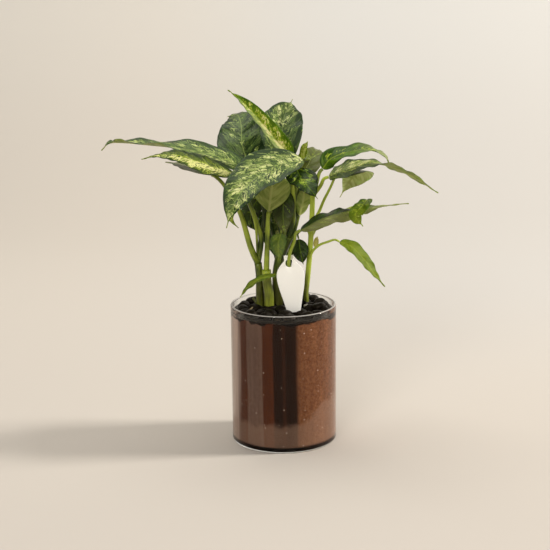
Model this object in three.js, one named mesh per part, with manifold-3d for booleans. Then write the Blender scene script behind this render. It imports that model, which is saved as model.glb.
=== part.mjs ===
// A potted dieffenbachia: a clear glass cylinder filled with potting soil and topped with black
// pebbles, in which five shoots stand. Each shoot is a short cane with long leaf stalks, and each
// stalk carries one pointed, waved blade. A blank card tag hangs on one stalk.
// Millimetres, +Z up, +Y away from the front; the origin is the centre of the underside of the glass.
import * as THREE from "three";
import { mergeVertices } from "three/addons/utils/BufferGeometryUtils.js";
import Module from "manifold-3d";

const wasm = await Module();
wasm.setup();

// ---- Driving dimensions ----
const GLASS_RADIUS = 60;
const GLASS_HEIGHT = 160;
const GLASS_WALL = 3;
const GLASS_BASE = 6;
const GLASS_FOOT_ROUND = 3.5;
const GLASS_SIDES = 48;
const CLEARANCE = 0.3; // between neighbouring pieces
const FILLING_RADIUS = GLASS_RADIUS - GLASS_WALL - CLEARANCE - 0.2; // clear of the glass's flat facets too

const SOIL_TOP = 151;
const HOLE_DEPTH = 32; // how far the canes stand in the soil
const HOLE_ROOM = 0.5; // between a cane and its hole
const HOLE_SIDES = 12;

const PEBBLE_BED = 2; // the layer that the pebbles are sunk in
const PEBBLE_LENGTH = [16, 21]; // smallest and largest, before turning
const PEBBLE_WIDTH = [13, 16];
const PEBBLE_HEIGHT = [11, 14];
const PEBBLE_SHIFT = 2; // how far a pebble may lie out of its ring, and above or below it, in all
const PEBBLE_TURN = 10; // how far it may lie from its place on the ring, in degrees, in all
const PEBBLE_TILT = 0.6; // in radians
// Rings of pebbles: how many, how far out, how high their middles lie, and the arc they fill in degrees.
const PEBBLE_RINGS = [
  { count: 18, radius: 47, level: 153.5, from: 0, to: 360 },
  { count: 12, radius: 31, level: 154, from: 8, to: 368 },
  { count: 6, radius: 15, level: 154.5, from: 20, to: 380 },
  { count: 7, radius: 41, level: 158.5, from: -20, to: 150 },
  { count: 4, radius: 26, level: 158, from: 15, to: 165 },
];

const BLADE_THICKNESS = 0.8;
const MIDRIB_KEEL = 0.9; // how far the midrib stands out below, at the base of a blade
const BLADE_STEP = 9.5; // length of one facet along a blade
const FEWEST_STEPS = 7;
const BLADE_CELLS = 4; // across it
const STALK_END = 1.5; // half the width of a blade where its stalk meets it
const TIP_END = 0.45; // half the width of a blade's very tip
const TIP_THREAD = 0.07; // share of a blade's length that its drawn-out tip takes
const LEFT_WAVE_SHIFT = 0.35; // how far the left edge's waves run ahead of the right edge's
const NORMAL_STEP = 0.02; // how far to either side a blade's slope is measured
const ALIGNED = 6; // length over which a stalk runs in line with its blade
const STALK_SIDES = 6;
const STALK_STEP = 14; // length of one facet of a stalk
const STALK_ROOT = 14; // how far below the start of its own route a stalk grows from its cane
const CANE_SIDES = 8;
const CANE_TAPER = 0.85; // a cane's top radius as a share of its foot's
const CANE_STRAIGHT = [157, 172]; // a cane is straight and upright up to these heights
const CANE_SAMPLES = 60; // points of a cane that are tried for where a stalk grows from it

const TAG = {
  width: 31,
  neckWidth: 11,
  endWidth: 15,
  length: 64,
  neckLength: 6,
  thickness: 0.8,
  holeRadius: 4.4,
  holeBelowTop: 9,
  foot: [12, -29, 157], // middle of its lower end
  top: [6.5, -15, 219], // middle of its neck's end
  seatWidth: 22, // of the slot among the pebbles that it stands in
  seatHeight: 20,
};

const COLOURS = {
  glass: 0xdfe8e6,
  soil: 0x4a2a1a,
  pebble: 0x17171a,
  paleStone: 0xd8d2c6,
  straw: 0xc9b48c,
  tag: 0xefe8d6,
  stalk: 0x6f8a2a,
  sheath: 0xb9b04e,
  darkLeaf: 0x2f4a26,
  mottledLeaf: 0x7f9a4c,
  plainLeaf: 0x6c8c22,
  oliveLeaf: 0x7c8040,
};

// A cut stub beside the left cane, a pale stone and a dry stem on the pebbles, and the dry sheath at the
// root of the lowest stalk on the right.
const STUB = { cane: "left", from: [-27, 6, 154], to: [-34.5, 10, 164], radius: 1.4 };
const PALE_STONE = { middle: [27, -7, 158], size: [8, 6, 5.5] };
const DRY_STEM = { from: [-42, -16, 153], to: [-32, -4, 158.6], radius: 0.7 };
const DRY_SHEATH = {
  spine: [[36, 1, 225], [37.5, 1, 230], [39, 0.5, 237]],
  width: 6.5, face: [[0.2, -0.9, 0], [-0.2, -0.9, 0]],
  fold: [[20, 20], [10, 10]], wave: [0, 1, 0],
  swell: [0.5, 0.5],
};

// ---- The canes: where each stands, its radius, and its route above the pebbles ----
const CANES = {
  left: { foot: [-26.5, 6], radius: 5, route: [[-26.5, 6, 190], [-28, 5, 206]] },
  front: { foot: [-16, -4], radius: 6, route: [[-18, -4, 185], [-18.5, -5, 200]] },
  centre: { foot: [-6.5, 9], radius: 6.4, route: [[-6, 8, 195], [-2, 6, 215], [7, 5, 236]] },
  tagged: { foot: [10, 1], radius: 2.6, route: [[9.5, -1, 184], [8, -4, 194]] },
  right: { foot: [26, 4], radius: 3.3, route: [[28, 3, 190], [31, 0, 225], [33, -4, 262], [34, -6, 290]] },
};

// ---- The leaves ----
// spine: points that the midrib passes through, from the base of the blade to its tip.
// width: of the blade at its widest.  face: where the upper side looks, at the base, ... and at the tip.
// fold: how far the left and the right half are raised, in degrees, at the base, ... and at the tip.
// wave: height, number and start of the waves along the edges.  swell: powers of the outline's curve.
// stalk: the cane that it grows from, its route up to the blade, and its radius at the root and the end.
const LEAVES = {
  leaf_young: {
    spine: [
      [12, 14, 327], [-1, 8, 339], [-17, -2, 360], [-34, -11, 381], [-47, -17, 395], [-58, -20, 404],
    ],
    width: 24, face: [[0.3, -0.9, 0.3], [0.5, -0.7, 0.4]],
    fold: [[38, 34], [30, 30]], wave: [0.6, 2, 0],
    swell: [0.5, 1.1], colour: "mottledLeaf",
    stalk: { cane: "centre", route: [[9, 9, 240], [15, 15, 285]], radius: [2.4, 2] },
  },
  leaf_back_left: {
    spine: [[-39, 21, 318], [-45, 33, 339], [-46, 52, 356], [-51, 72, 366], [-63, 92, 362]],
    width: 57, face: [[0.1, -0.7, 0.6], [-0.1, -0.3, 0.9]],
    fold: [[-8, -8], [-10, 4]], wave: [1.8, 3, 0.3],
    swell: [0.34, 0.8], colour: "mottledLeaf",
    stalk: { cane: "centre", route: [[-4, 12, 208], [-14, 26, 250], [-31, 28, 298]], radius: [2.4, 1.8] },
  },
  leaf_back_right: {
    spine: [[8, 20, 319], [2, 30, 338], [1, 44, 355], [5, 58, 370], [13, 66, 384]],
    width: 52, face: [[0, -0.8, 0.5], [-0.1, -0.6, 0.7]],
    fold: [[10, 24], [10, 20]], wave: [1.8, 3, 0.1],
    swell: [0.6, 0.6], colour: "mottledLeaf",
    stalk: { cane: "centre", route: [[7, 11, 240], [9, 21, 285]], radius: [2.4, 1.8] },
  },
  leaf_left_wavy: {
    spine: [
      [-40, 5, 314], [-74, 8, 328], [-112, 7, 337], [-147, 2, 342], [-178, -5, 346], [-191, -9, 345],
      [-198, -12, 338],
    ],
    width: 38, face: [[0.2, -0.5, 0.8], [0, 0, 1], [0, 0.2, 1]],
    fold: [[6, 12], [20, 12]], wave: [2.8, 4, 0.09],
    swell: [0.4, 1], colour: "oliveLeaf",
    stalk: { cane: "left", route: [[-24, 10, 234], [-21, 10, 262], [-26, 8, 290]], radius: [2, 1.6] },
  },
  leaf_left_cream: {
    spine: [
      [-51, -14, 311], [-72, -26, 320], [-94, -32, 329], [-115, -35, 336], [-134, -37, 336],
      [-152, -38, 332],
    ],
    width: 33, face: [[0.1, -0.6, 0.75], [0, -0.5, 0.85]],
    fold: [[8, -14], [4, -16]], wave: [1, 3, 0.4],
    swell: [0.6, 1.2], colour: "mottledLeaf",
    stalk: {
      cane: "left", route: [[-24, 3, 234], [-29, 1, 254], [-36, -4, 275], [-43, -9, 294]],
      radius: [3.8, 2],
    },
  },
  leaf_left_under: {
    spine: [[-77, -8, 309], [-98, 18, 313], [-118, 44, 314], [-135, 70, 312]],
    width: 60, face: [[0, 0.1, 1], [0, 0.2, 1]],
    fold: [[8, 6], [8, 6]], wave: [0.8, 2, 0],
    swell: [0.35, 0.9], colour: "darkLeaf",
    stalk: { cane: "left", route: [[-36, -3, 227], [-47, -9, 267], [-63, -12, 297]], radius: [4, 2] },
  },
  leaf_front: {
    spine: [
      [24, -12, 325], [0, -28, 324], [-22, -48, 316], [-40, -68, 304], [-53, -84, 286], [-59, -92, 266],
    ],
    width: 54, face: [[-0.1, -0.65, 0.75], [-0.2, -0.7, 0.65], [-0.35, -0.85, 0.4]],
    fold: [[14, 20], [12, 12]], wave: [1.8, 3, 0.2],
    swell: [0.75, 1.05], colour: "mottledLeaf",
    stalk: { cane: "centre", route: [[12, 6, 246], [13, 9, 272], [17, 6, 300]], radius: [3.4, 2.2] },
  },
  leaf_front_dark: {
    spine: [[16, -18, 317], [21, -30, 308], [28, -44, 301], [38, -56, 290]],
    width: 35, face: [[0.1, -0.6, 0.8], [0.2, -0.7, 0.7]],
    fold: [[8, 8], [8, 8]], wave: [0.8, 2, 0],
    swell: [0.45, 0.8], colour: "darkLeaf",
    stalk: { cane: "centre", route: [[11, 2, 246], [13, 0, 275], [11, -8, 302]], radius: [2.6, 1.8] },
  },
  leaf_behind_right: {
    spine: [[25, 16, 304], [31, 26, 317], [38, 42, 327], [44, 60, 326]],
    width: 30, face: [[0, -0.7, 0.7], [0.2, -0.4, 0.9]],
    fold: [[10, 14], [10, 14]], wave: [0.8, 2, 0.2],
    swell: [0.5, 0.9], colour: "darkLeaf",
    stalk: { cane: "centre", route: [[13, 9, 250], [21, 12, 280]], radius: [2.2, 1.6] },
  },
  leaf_rolled_tip: {
    spine: [[22, 14, 322], [24, 13, 333], [29, 11, 343]],
    width: 10, face: [[0.6, -0.8, 0], [-0.3, -0.9, 0.2]],
    fold: [[25, 25], [25, 25]], wave: [0, 1, 0],
    swell: [0.6, 0.7], colour: "plainLeaf",
    stalk: { cane: "centre", route: [[12, 9, 246], [18, 13, 285]], radius: [1.8, 1.4] },
  },
  leaf_right_arched: {
    spine: [[45, -8, 315], [54, -8, 326], [72, -9, 333], [94, -11, 336], [112, -11, 330], [120, -9, 317]],
    width: 29, face: [[-0.3, -0.9, 0.3], [-0.1, -0.4, 0.9], [-0.1, -0.1, 1], [0.4, -0.1, 0.9]],
    fold: [[10, 10], [8, 8]], wave: [1.6, 3, 0.3],
    swell: [0.55, 0.7], colour: "darkLeaf",
    stalk: { cane: "right", route: [[37, -8, 294]], radius: [2.6, 1.9] },
  },
  leaf_right_long: {
    spine: [
      [51, -32, 310], [69, -38, 318], [94, -38, 325], [119, -38, 321], [144, -40, 309], [169, -44, 293],
    ],
    width: 38, face: [[0, 0, 1], [0, 0, 1], [0.2, 0.4, 0.9], [0.4, 0.5, 0.8]],
    fold: [[36, -24], [16, -8], [4, 4], [4, 4]], wave: [1.8, 4, 0],
    swell: [0.45, 0.9], colour: "oliveLeaf",
    stalk: { cane: "right", route: [[42, -20, 298]], radius: [2.6, 1.9] },
  },
  leaf_right_drooping: {
    spine: [[62, -18, 309], [75, -2, 312], [84, 13, 309], [79, 22, 300], [73, 23, 291], [65, 18, 278]],
    width: 41, face: [[0, -0.2, 1], [0.4, 0.6, 0.7], [0.3, 0.95, 0.1]],
    fold: [[4, 4], [4, 4]], wave: [1, 2, 0.3],
    swell: [0.5, 1.1], colour: "oliveLeaf",
    stalk: { cane: "right", route: [[40, -6, 265], [46, -10, 280], [53, -15, 295]], radius: [2, 1.4] },
  },
  leaf_right_low: {
    spine: [[20, -28, 250], [44, -26, 262], [66, -18, 267], [86, -6, 269], [114, 8, 270], [143, 15, 271]],
    width: 30, face: [[0, -0.25, 1], [0, -0.05, 1], [0, 0, 1], [0, 0.2, 1]],
    fold: [[4, -8], [4, -22], [4, -16], [6, 6]], wave: [1.8, 4, 0.2],
    swell: [0.4, 0.95], colour: "oliveLeaf",
    stalk: {
      cane: "tagged", route: [[7.5, -9, 200], [6.3, -17, 210.5], [8, -24, 224], [13, -28, 238]],
      radius: [2.1, 1.8],
    },
  },
  leaf_right_crossing: {
    spine: [[93, 28, 269], [95, 8, 277], [88, -20, 275], [80, -34, 267], [88, -40, 256]],
    width: 17, face: [[0, 0, 1], [0, -0.4, 0.9], [-0.2, -0.95, 0.2]],
    fold: [[4, 4], [8, 8]], wave: [0.5, 2, 0],
    swell: [0.8, 0.5], colour: "plainLeaf",
    stalk: { cane: "right", route: [[42, 12, 250], [63, 26, 258], [80, 33, 264]], radius: [1.9, 1.4] },
  },
  leaf_right_plain: {
    spine: [[64, -6, 232], [77, -10, 227], [91, -14, 213], [102, -17, 198], [114, -20, 183]],
    width: 20, face: [[0.3, -0.5, 0.8], [0.6, -0.6, 0.5]],
    fold: [[8, 8], [8, 8]], wave: [0.6, 3, 0],
    swell: [0.5, 0.9], colour: "plainLeaf",
    stalk: { cane: "right", route: [[33, -3, 220], [41, -4, 228], [51, -5, 232]], radius: [1.8, 1.2] },
  },
  leaf_centre_under: {
    spine: [[-15, -14, 269], [-13, -17, 284], [-11, -19, 300], [-9, -20, 316]],
    width: 44, face: [[0, 0.9, 0.3], [0, 0.9, 0.4]],
    fold: [[10, 10], [10, 10]], wave: [0.8, 2, 0],
    swell: [0.85, 0.6], colour: "oliveLeaf",
    stalk: { cane: "front", route: [[-17, -8, 237]], radius: [3.2, 2.2] },
  },
  leaf_centre_dark: {
    spine: [[2, -1, 291], [1, -8, 274], [1, -13, 257], [3, -15, 241]],
    width: 26, face: [[0, -0.9, 0.4], [0, -0.95, 0.3]],
    fold: [[12, 12], [12, 12]], wave: [0.5, 2, 0],
    swell: [0.5, 0.9], colour: "darkLeaf",
    stalk: { cane: "centre", route: [[9, 1, 242], [9, 2, 272], [7, 5, 294]], radius: [2, 1.5] },
  },
  leaf_centre_small: {
    spine: [[-2, -6, 242], [-5, -12, 230], [-3, -14, 212]],
    width: 19, face: [[-0.2, -0.9, 0.5], [-0.1, -0.95, 0.3]],
    fold: [[10, 10], [10, 10]], wave: [0.3, 1, 0],
    swell: [0.5, 0.8], colour: "plainLeaf",
    stalk: { cane: "centre", route: [[0, 2, 225], [1, 1, 240]], radius: [1.6, 1.2] },
  },
  leaf_beside_tag: {
    spine: [[18, -4, 235], [20, -7, 221], [23, -9, 207]],
    width: 19, face: [[0, -0.95, 0.3], [0, -0.95, 0.3]],
    fold: [[10, 10], [10, 10]], wave: [0.3, 1, 0],
    swell: [0.6, 0.8], colour: "darkLeaf",
    stalk: { cane: "right", route: [[29, -1, 243], [23, -5, 246]], radius: [1.5, 1] },
  },
  leaf_low_narrow: {
    spine: [[-8, -16, 197], [-23, -24, 195], [-37, -31, 188], [-48, -37, 177]],
    width: 13, face: [[0, -0.2, 1], [-0.3, -0.3, 0.9]],
    fold: [[12, 12], [12, 12]], wave: [0.4, 2, 0],
    swell: [0.5, 0.8], colour: "plainLeaf",
    stalk: { cane: "centre", route: [[-5, 0, 188], [-4, -9, 196]], radius: [1.8, 1.2] },
  },
  leaf_shade_left: {
    spine: [[-23, 18, 283], [-34, 22, 266], [-36, 21, 252], [-30, 18, 239]],
    width: 24, face: [[-0.2, -0.9, 0.4], [-0.1, -0.95, 0.3]],
    fold: [[6, 6], [6, 6]], wave: [0.5, 2, 0],
    swell: [0.5, 0.9], colour: "darkLeaf",
    stalk: { cane: "left", route: [[-25, 12, 230], [-18, 13, 262], [-17, 15, 281]], radius: [2, 1.4] },
  },
  leaf_pale_tip: {
    spine: [[-45, -22, 290], [-54, -36, 278], [-56, -42, 266], [-48, -42, 256]],
    width: 10, face: [[-0.4, -0.8, 0.4], [0.2, -0.9, 0.3]],
    fold: [[14, 14], [14, 14]], wave: [0, 1, 0],
    swell: [0.5, 1.1], colour: "plainLeaf",
    stalk: { cane: "left", route: [[-30, -4, 250], [-38, -13, 280]], radius: [1.6, 1.2] },
  },
  leaf_centre_pale: {
    spine: [[19, 3, 261], [22, 4, 271], [24, 4, 282], [25, 3, 293]],
    width: 15, face: [[0, 0.8, 0.5], [0, 0.8, 0.5]],
    fold: [[6, 6], [6, 6]], wave: [0.4, 1, 0],
    swell: [0.6, 0.5], colour: "plainLeaf",
    stalk: { cane: "centre", route: [[11, 2, 236], [16, 2, 250]], radius: [1.8, 1.4] },
  },
  leaf_shade_right: {
    spine: [[22, 18, 286], [26, 30, 284], [28, 40, 273], [27, 44, 259]],
    width: 22, face: [[0, -0.3, 1], [0.1, 0.5, 0.8], [0.1, 0.9, 0.2]],
    fold: [[6, 6], [6, 6]], wave: [0.5, 2, 0],
    swell: [0.5, 0.9], colour: "darkLeaf",
    stalk: { cane: "centre", route: [[13, 9, 246], [19, 11, 270]], radius: [1.8, 1.4] },
  },
  leaf_rear_left: {
    spine: [[-22, 30, 262], [-28, 54, 282], [-35, 84, 288], [-44, 112, 272]],
    width: 42, face: [[0, -0.6, 0.8], [0, 0, 1], [-0.1, 0.6, 0.8]],
    fold: [[8, 8], [8, 8]], wave: [1, 3, 0],
    swell: [0.5, 0.9], colour: "darkLeaf",
    stalk: { cane: "centre", route: [[-8, 14, 212], [-17, 23, 245]], radius: [2.2, 1.6] },
  },
  leaf_rear_right: {
    spine: [[-1, 28, 259], [-6, 39, 244], [-1, 43, 218], [10, 41, 176]],
    width: 46, face: [[0, -0.8, 0.6], [0, -1, 0.1], [0, -1, 0]],
    fold: [[8, 8], [8, 8]], wave: [1, 3, 0.4],
    swell: [0.5, 0.9], colour: "darkLeaf",
    stalk: { cane: "centre", route: [[0, 16, 224], [1, 22, 244]], radius: [2.2, 1.6] },
  },
  leaf_back_shade: {
    spine: [[-10, 28, 306], [-20, 38, 323], [-32, 48, 333], [-44, 54, 330]],
    width: 36, face: [[0, -0.8, 0.6], [0, -0.7, 0.7]],
    fold: [[8, 8], [8, 8]], wave: [0.8, 2, 0],
    swell: [0.5, 0.9], colour: "darkLeaf",
    stalk: { cane: "centre", route: [[-1, 13, 225], [-6, 22, 268]], radius: [2, 1.5] },
  },
};

// ---- Helpers ----
const vector = (xyz) => new THREE.Vector3(...xyz);
const route = (points) => new THREE.CatmullRomCurve3(points, false, "catmullrom", 0.5);
const mix = (a, b, share) => a + (b - a) * share;

// The two entries of a list, spread evenly from 0 to 1, that t lies between, and how far on it is.
function between(list, t) {
  const place = t * (list.length - 1);
  const first = Math.min(Math.floor(place), list.length - 2);
  return [list[first], list[first + 1], place - first];
}

// A draw from 0 to 1 that is the same every time for the same number.
function draw(number) {
  const x = Math.sin(number * 12.9898) * 43758.5453;
  return x - Math.floor(x);
}

function solidOf(geometry) {
  const bare = geometry.clone();
  bare.deleteAttribute("normal");
  bare.deleteAttribute("uv");
  const merged = mergeVertices(bare, 1e-4);
  return new wasm.Manifold(
    new wasm.Mesh({
      numProp: 3,
      vertProperties: new Float32Array(merged.attributes.position.array),
      triVerts: new Uint32Array(merged.index.array),
    }),
  );
}

function geometryOf(solid) {
  const mesh = solid.getMesh();
  const geometry = new THREE.BufferGeometry();
  const points = new Float32Array(mesh.vertProperties);
  geometry.setAttribute("position", new THREE.BufferAttribute(points, 3));
  geometry.setIndex(new THREE.BufferAttribute(new Uint32Array(mesh.triVerts), 1));
  return geometry;
}

function geometryFrom(points, triangles) {
  const geometry = new THREE.BufferGeometry();
  const numbers = points.flatMap((point) => point.toArray());
  geometry.setAttribute("position", new THREE.Float32BufferAttribute(numbers, 3));
  geometry.setIndex(triangles.flat());
  return geometry;
}

const joined = (solids) => solids.reduce((whole, next) => whole.add(next));

function mesh(name, geometry, colour, roughness, metalness = 0) {
  const shown = geometry.index ? geometry.toNonIndexed() : geometry;
  shown.computeVertexNormals();
  const material = new THREE.MeshStandardMaterial({ color: COLOURS[colour], roughness, metalness });
  const made = new THREE.Mesh(shown, material);
  made.name = name;
  return made;
}

function uprightCylinder(radius, bottom, top, [x, y], sides) {
  const geometry = new THREE.CylinderGeometry(radius, radius, top - bottom, sides);
  geometry.rotateX(Math.PI / 2);
  geometry.translate(x, y, (top + bottom) / 2);
  return geometry;
}

// ---- Blades ----

// The middle of a blade's outline at t, from its base (0) to its tip (1): the point on the midrib, the
// direction towards the tip, the direction that the upper side faces, and the direction of the right edge.
function bladeFrame(leaf, t) {
  const midrib = route(leaf.spine.map(vector));
  const point = midrib.getPoint(t);
  const along = midrib.getTangent(t);
  const [before, after, share] = between(leaf.face, t);
  const up = vector(before).normalize().lerp(vector(after).normalize(), share);
  up.addScaledVector(along, -up.dot(along)).normalize();
  const side = new THREE.Vector3().crossVectors(along, up);
  return { point, along, up, side };
}

function halfWidth(leaf, t) {
  const [rise, fall] = leaf.swell;
  const widest = rise / (rise + fall);
  const peak = widest ** rise * (1 - widest) ** fall;
  const place = Math.min(t / (1 - TIP_THREAD), 1);
  const bell = (place ** rise * (1 - place) ** fall) / peak;
  return Math.max((leaf.width / 2) * bell, mix(STALK_END, TIP_END, t));
}

// A point halfway through the blade: s runs from the left edge (-1) over the midrib (0) to the right (1).
function bladePoint(leaf, t, s) {
  const { point, up, side } = bladeFrame(leaf, t);
  const reach = Math.abs(s) * halfWidth(leaf, t);
  const [before, after, share] = between(leaf.fold, t);
  const half = s < 0 ? 0 : 1;
  const fold = THREE.MathUtils.degToRad(mix(before[half], after[half], share));
  const [height, count, start] = leaf.wave;
  const beat = Math.sin(2 * Math.PI * (count * t + start + (s < 0 ? LEFT_WAVE_SHIFT : 0)));
  const ripple = height * beat * Math.sin(Math.PI * t) * s * s;
  return point
    .addScaledVector(side, Math.sign(s) * reach * Math.cos(fold))
    .addScaledVector(up, reach * Math.sin(fold) + ripple);
}

function bladeNormal(leaf, t, s) {
  const before = Math.max(t - NORMAL_STEP, 0);
  const after = Math.min(t + NORMAL_STEP, 1);
  const across = bladePoint(leaf, t, s + NORMAL_STEP).sub(bladePoint(leaf, t, s - NORMAL_STEP));
  const along = bladePoint(leaf, after, s).sub(bladePoint(leaf, before, s));
  return across.cross(along).normalize();
}

// A closed blade: an upper and a lower face with the same triangles, and a narrow wall all round.
function bladeGeometry(leaf) {
  const length = route(leaf.spine.map(vector)).getLength();
  const steps = Math.max(FEWEST_STEPS, Math.round(length / BLADE_STEP));
  const upper = [];
  const lower = [];
  for (let i = 0; i <= steps; i++) {
    const t = i / steps;
    for (let j = 0; j <= BLADE_CELLS; j++) {
      const s = (2 * j) / BLADE_CELLS - 1;
      const normal = bladeNormal(leaf, t, s);
      const keel = s === 0 ? MIDRIB_KEEL * (1 - t) : 0;
      upper.push(bladePoint(leaf, t, s).addScaledVector(normal, BLADE_THICKNESS / 2));
      lower.push(bladePoint(leaf, t, s).addScaledVector(normal, -BLADE_THICKNESS / 2 - keel));
    }
  }
  const row = BLADE_CELLS + 1;
  const below = upper.length;
  const triangles = [];
  for (let i = 0; i < steps; i++)
    for (let j = 0; j < BLADE_CELLS; j++) {
      const a = i * row + j;
      const [b, c, d] = [a + 1, a + row, a + row + 1];
      triangles.push([a, b, c], [b, d, c]);
      triangles.push([a + below, c + below, b + below], [b + below, c + below, d + below]);
    }
  const wall = (a, b) => triangles.push([a, b, a + below], [b, b + below, a + below]);
  for (let i = 0; i < steps; i++) {
    wall(i * row, (i + 1) * row);
    wall((i + 1) * row + BLADE_CELLS, i * row + BLADE_CELLS);
  }
  for (let j = 0; j < BLADE_CELLS; j++) {
    wall(j + 1, j);
    wall(steps * row + j, steps * row + j + 1);
  }
  return geometryFrom([...upper, ...lower], triangles);
}

// ---- Canes and leaf stalks ----

// A closed round stalk along a route, thinner towards its end.
function stalkGeometry(points, [rootRadius, endRadius], sides) {
  const path = route(points.map(vector));
  const steps = Math.max(2, Math.round(path.getLength() / STALK_STEP));
  const { normals, binormals } = path.computeFrenetFrames(steps, false);
  const ring = [];
  path.getSpacedPoints(steps).forEach((middle, i) => {
    const radius = mix(rootRadius, endRadius, i / steps);
    for (let j = 0; j < sides; j++) {
      const angle = (2 * Math.PI * j) / sides;
      const out = normals[i].clone().multiplyScalar(Math.cos(angle));
      out.addScaledVector(binormals[i], Math.sin(angle));
      ring.push(middle.clone().addScaledVector(out, radius));
    }
  });
  const triangles = [];
  for (let i = 0; i < steps; i++)
    for (let j = 0; j < sides; j++) {
      const [a, b] = [i * sides + j, i * sides + ((j + 1) % sides)];
      triangles.push([a, b, b + sides], [a, b + sides, a + sides]);
    }
  const last = steps * sides;
  for (let j = 1; j < sides - 1; j++) {
    triangles.push([0, j + 1, j]);
    triangles.push([last, last + j, last + j + 1]);
  }
  return geometryFrom(ring, triangles);
}

// A straight rod, thicker by the room that is asked for all round.
function rodGeometry({ from, to, radius }, room) {
  return stalkGeometry([from, to], [radius + room, radius + room], STALK_SIDES);
}

// A leaf's stalk leaves the cane's middle and ends just short of the blade's base, in line with it.
function leafStalk(leaf, cane) {
  const { point, along } = bladeFrame(leaf, 0);
  const nearest = nearestOnCane(cane, leaf.stalk.route[0]);
  const end = point.clone().addScaledVector(along, -CLEARANCE);
  const lineUp = point.clone().addScaledVector(along, -CLEARANCE - ALIGNED);
  const middle = [nearest, ...leaf.stalk.route, lineUp.toArray(), end.toArray()];
  return stalkGeometry(middle, leaf.stalk.radius, STALK_SIDES);
}

function caneRoute({ foot: [x, y], route: above }) {
  const bottom = SOIL_TOP - HOLE_DEPTH + CLEARANCE;
  return [[x, y, bottom], ...CANE_STRAIGHT.map((z) => [x, y, z]), ...above];
}

// The point of a cane's middle line that a stalk grows from: a little below where the stalk stands clear.
function nearestOnCane(cane, target) {
  const path = route(caneRoute(cane).map(vector));
  const points = path.getSpacedPoints(CANE_SAMPLES);
  const aim = vector(target).add(new THREE.Vector3(0, 0, -STALK_ROOT));
  points.sort((a, b) => a.distanceTo(aim) - b.distanceTo(aim));
  return points[0].toArray();
}

function shootGeometry(name) {
  const cane = CANES[name];
  const body = solidOf(stalkGeometry(caneRoute(cane), [cane.radius, cane.radius * CANE_TAPER], CANE_SIDES));
  const stalks = Object.values(LEAVES)
    .filter((leaf) => leaf.stalk.cane === name)
    .map((leaf) => solidOf(leafStalk(leaf, cane)));
  const stubs = STUB.cane === name ? [solidOf(rodGeometry(STUB, 0))] : [];
  return geometryOf(joined([body, ...stalks, ...stubs]));
}

// ---- The glass, the soil, the pebbles and the tag ----

function glassGeometry() {
  const inner = GLASS_RADIUS - GLASS_WALL;
  const lip = GLASS_WALL / 2;
  const foot = GLASS_FOOT_ROUND;
  const outline = new THREE.Path();
  outline.moveTo(0, 0);
  outline.lineTo(GLASS_RADIUS - foot, 0);
  outline.absarc(GLASS_RADIUS - foot, foot, foot, -Math.PI / 2, 0, false);
  outline.lineTo(GLASS_RADIUS, GLASS_HEIGHT - lip);
  outline.absarc(GLASS_RADIUS - lip, GLASS_HEIGHT - lip, lip, 0, Math.PI, false);
  outline.lineTo(inner, GLASS_BASE + foot);
  outline.absarc(inner - foot, GLASS_BASE + foot, foot, 0, -Math.PI / 2, true);
  outline.lineTo(0, GLASS_BASE);
  const geometry = new THREE.LatheGeometry(outline.getPoints(2), GLASS_SIDES);
  geometry.rotateX(Math.PI / 2);
  return geometry;
}

function soilGeometry() {
  const bottom = GLASS_BASE + CLEARANCE;
  const profile = [
    [0, bottom],
    [FILLING_RADIUS - GLASS_FOOT_ROUND, bottom],
    [FILLING_RADIUS, bottom + GLASS_FOOT_ROUND],
    [FILLING_RADIUS, SOIL_TOP],
    [0, SOIL_TOP],
  ];
  const block = new THREE.LatheGeometry(profile.map((p) => new THREE.Vector2(...p)), GLASS_SIDES);
  block.rotateX(Math.PI / 2);
  return geometryOf(solidOf(block).subtract(caneHoles()));
}

// The room that the canes take up, from the bottom of their holes to above the pebbles.
function caneHoles() {
  const [bottom, top] = [SOIL_TOP - HOLE_DEPTH, CANE_STRAIGHT[1]];
  const holes = Object.values(CANES).map(({ foot, radius }) =>
    solidOf(uprightCylinder(radius + HOLE_ROOM, bottom, top, foot, HOLE_SIDES)),
  );
  return joined(holes);
}

// One worn pebble: an uneven ellipsoid, turned and tilted.
function pebbleGeometry(number, place) {
  const size = [PEBBLE_LENGTH, PEBBLE_WIDTH, PEBBLE_HEIGHT].map(([least, most], axis) =>
    mix(least, most, draw(number * 7 + axis)),
  );
  const geometry = new THREE.IcosahedronGeometry(0.5, 0);
  geometry.scale(...size);
  geometry.rotateX((draw(number * 7 + 3) - 0.5) * PEBBLE_TILT);
  geometry.rotateY((draw(number * 7 + 4) - 0.5) * PEBBLE_TILT);
  geometry.rotateZ(draw(number * 7 + 5) * Math.PI);
  geometry.translate(...place);
  return geometry;
}

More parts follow.
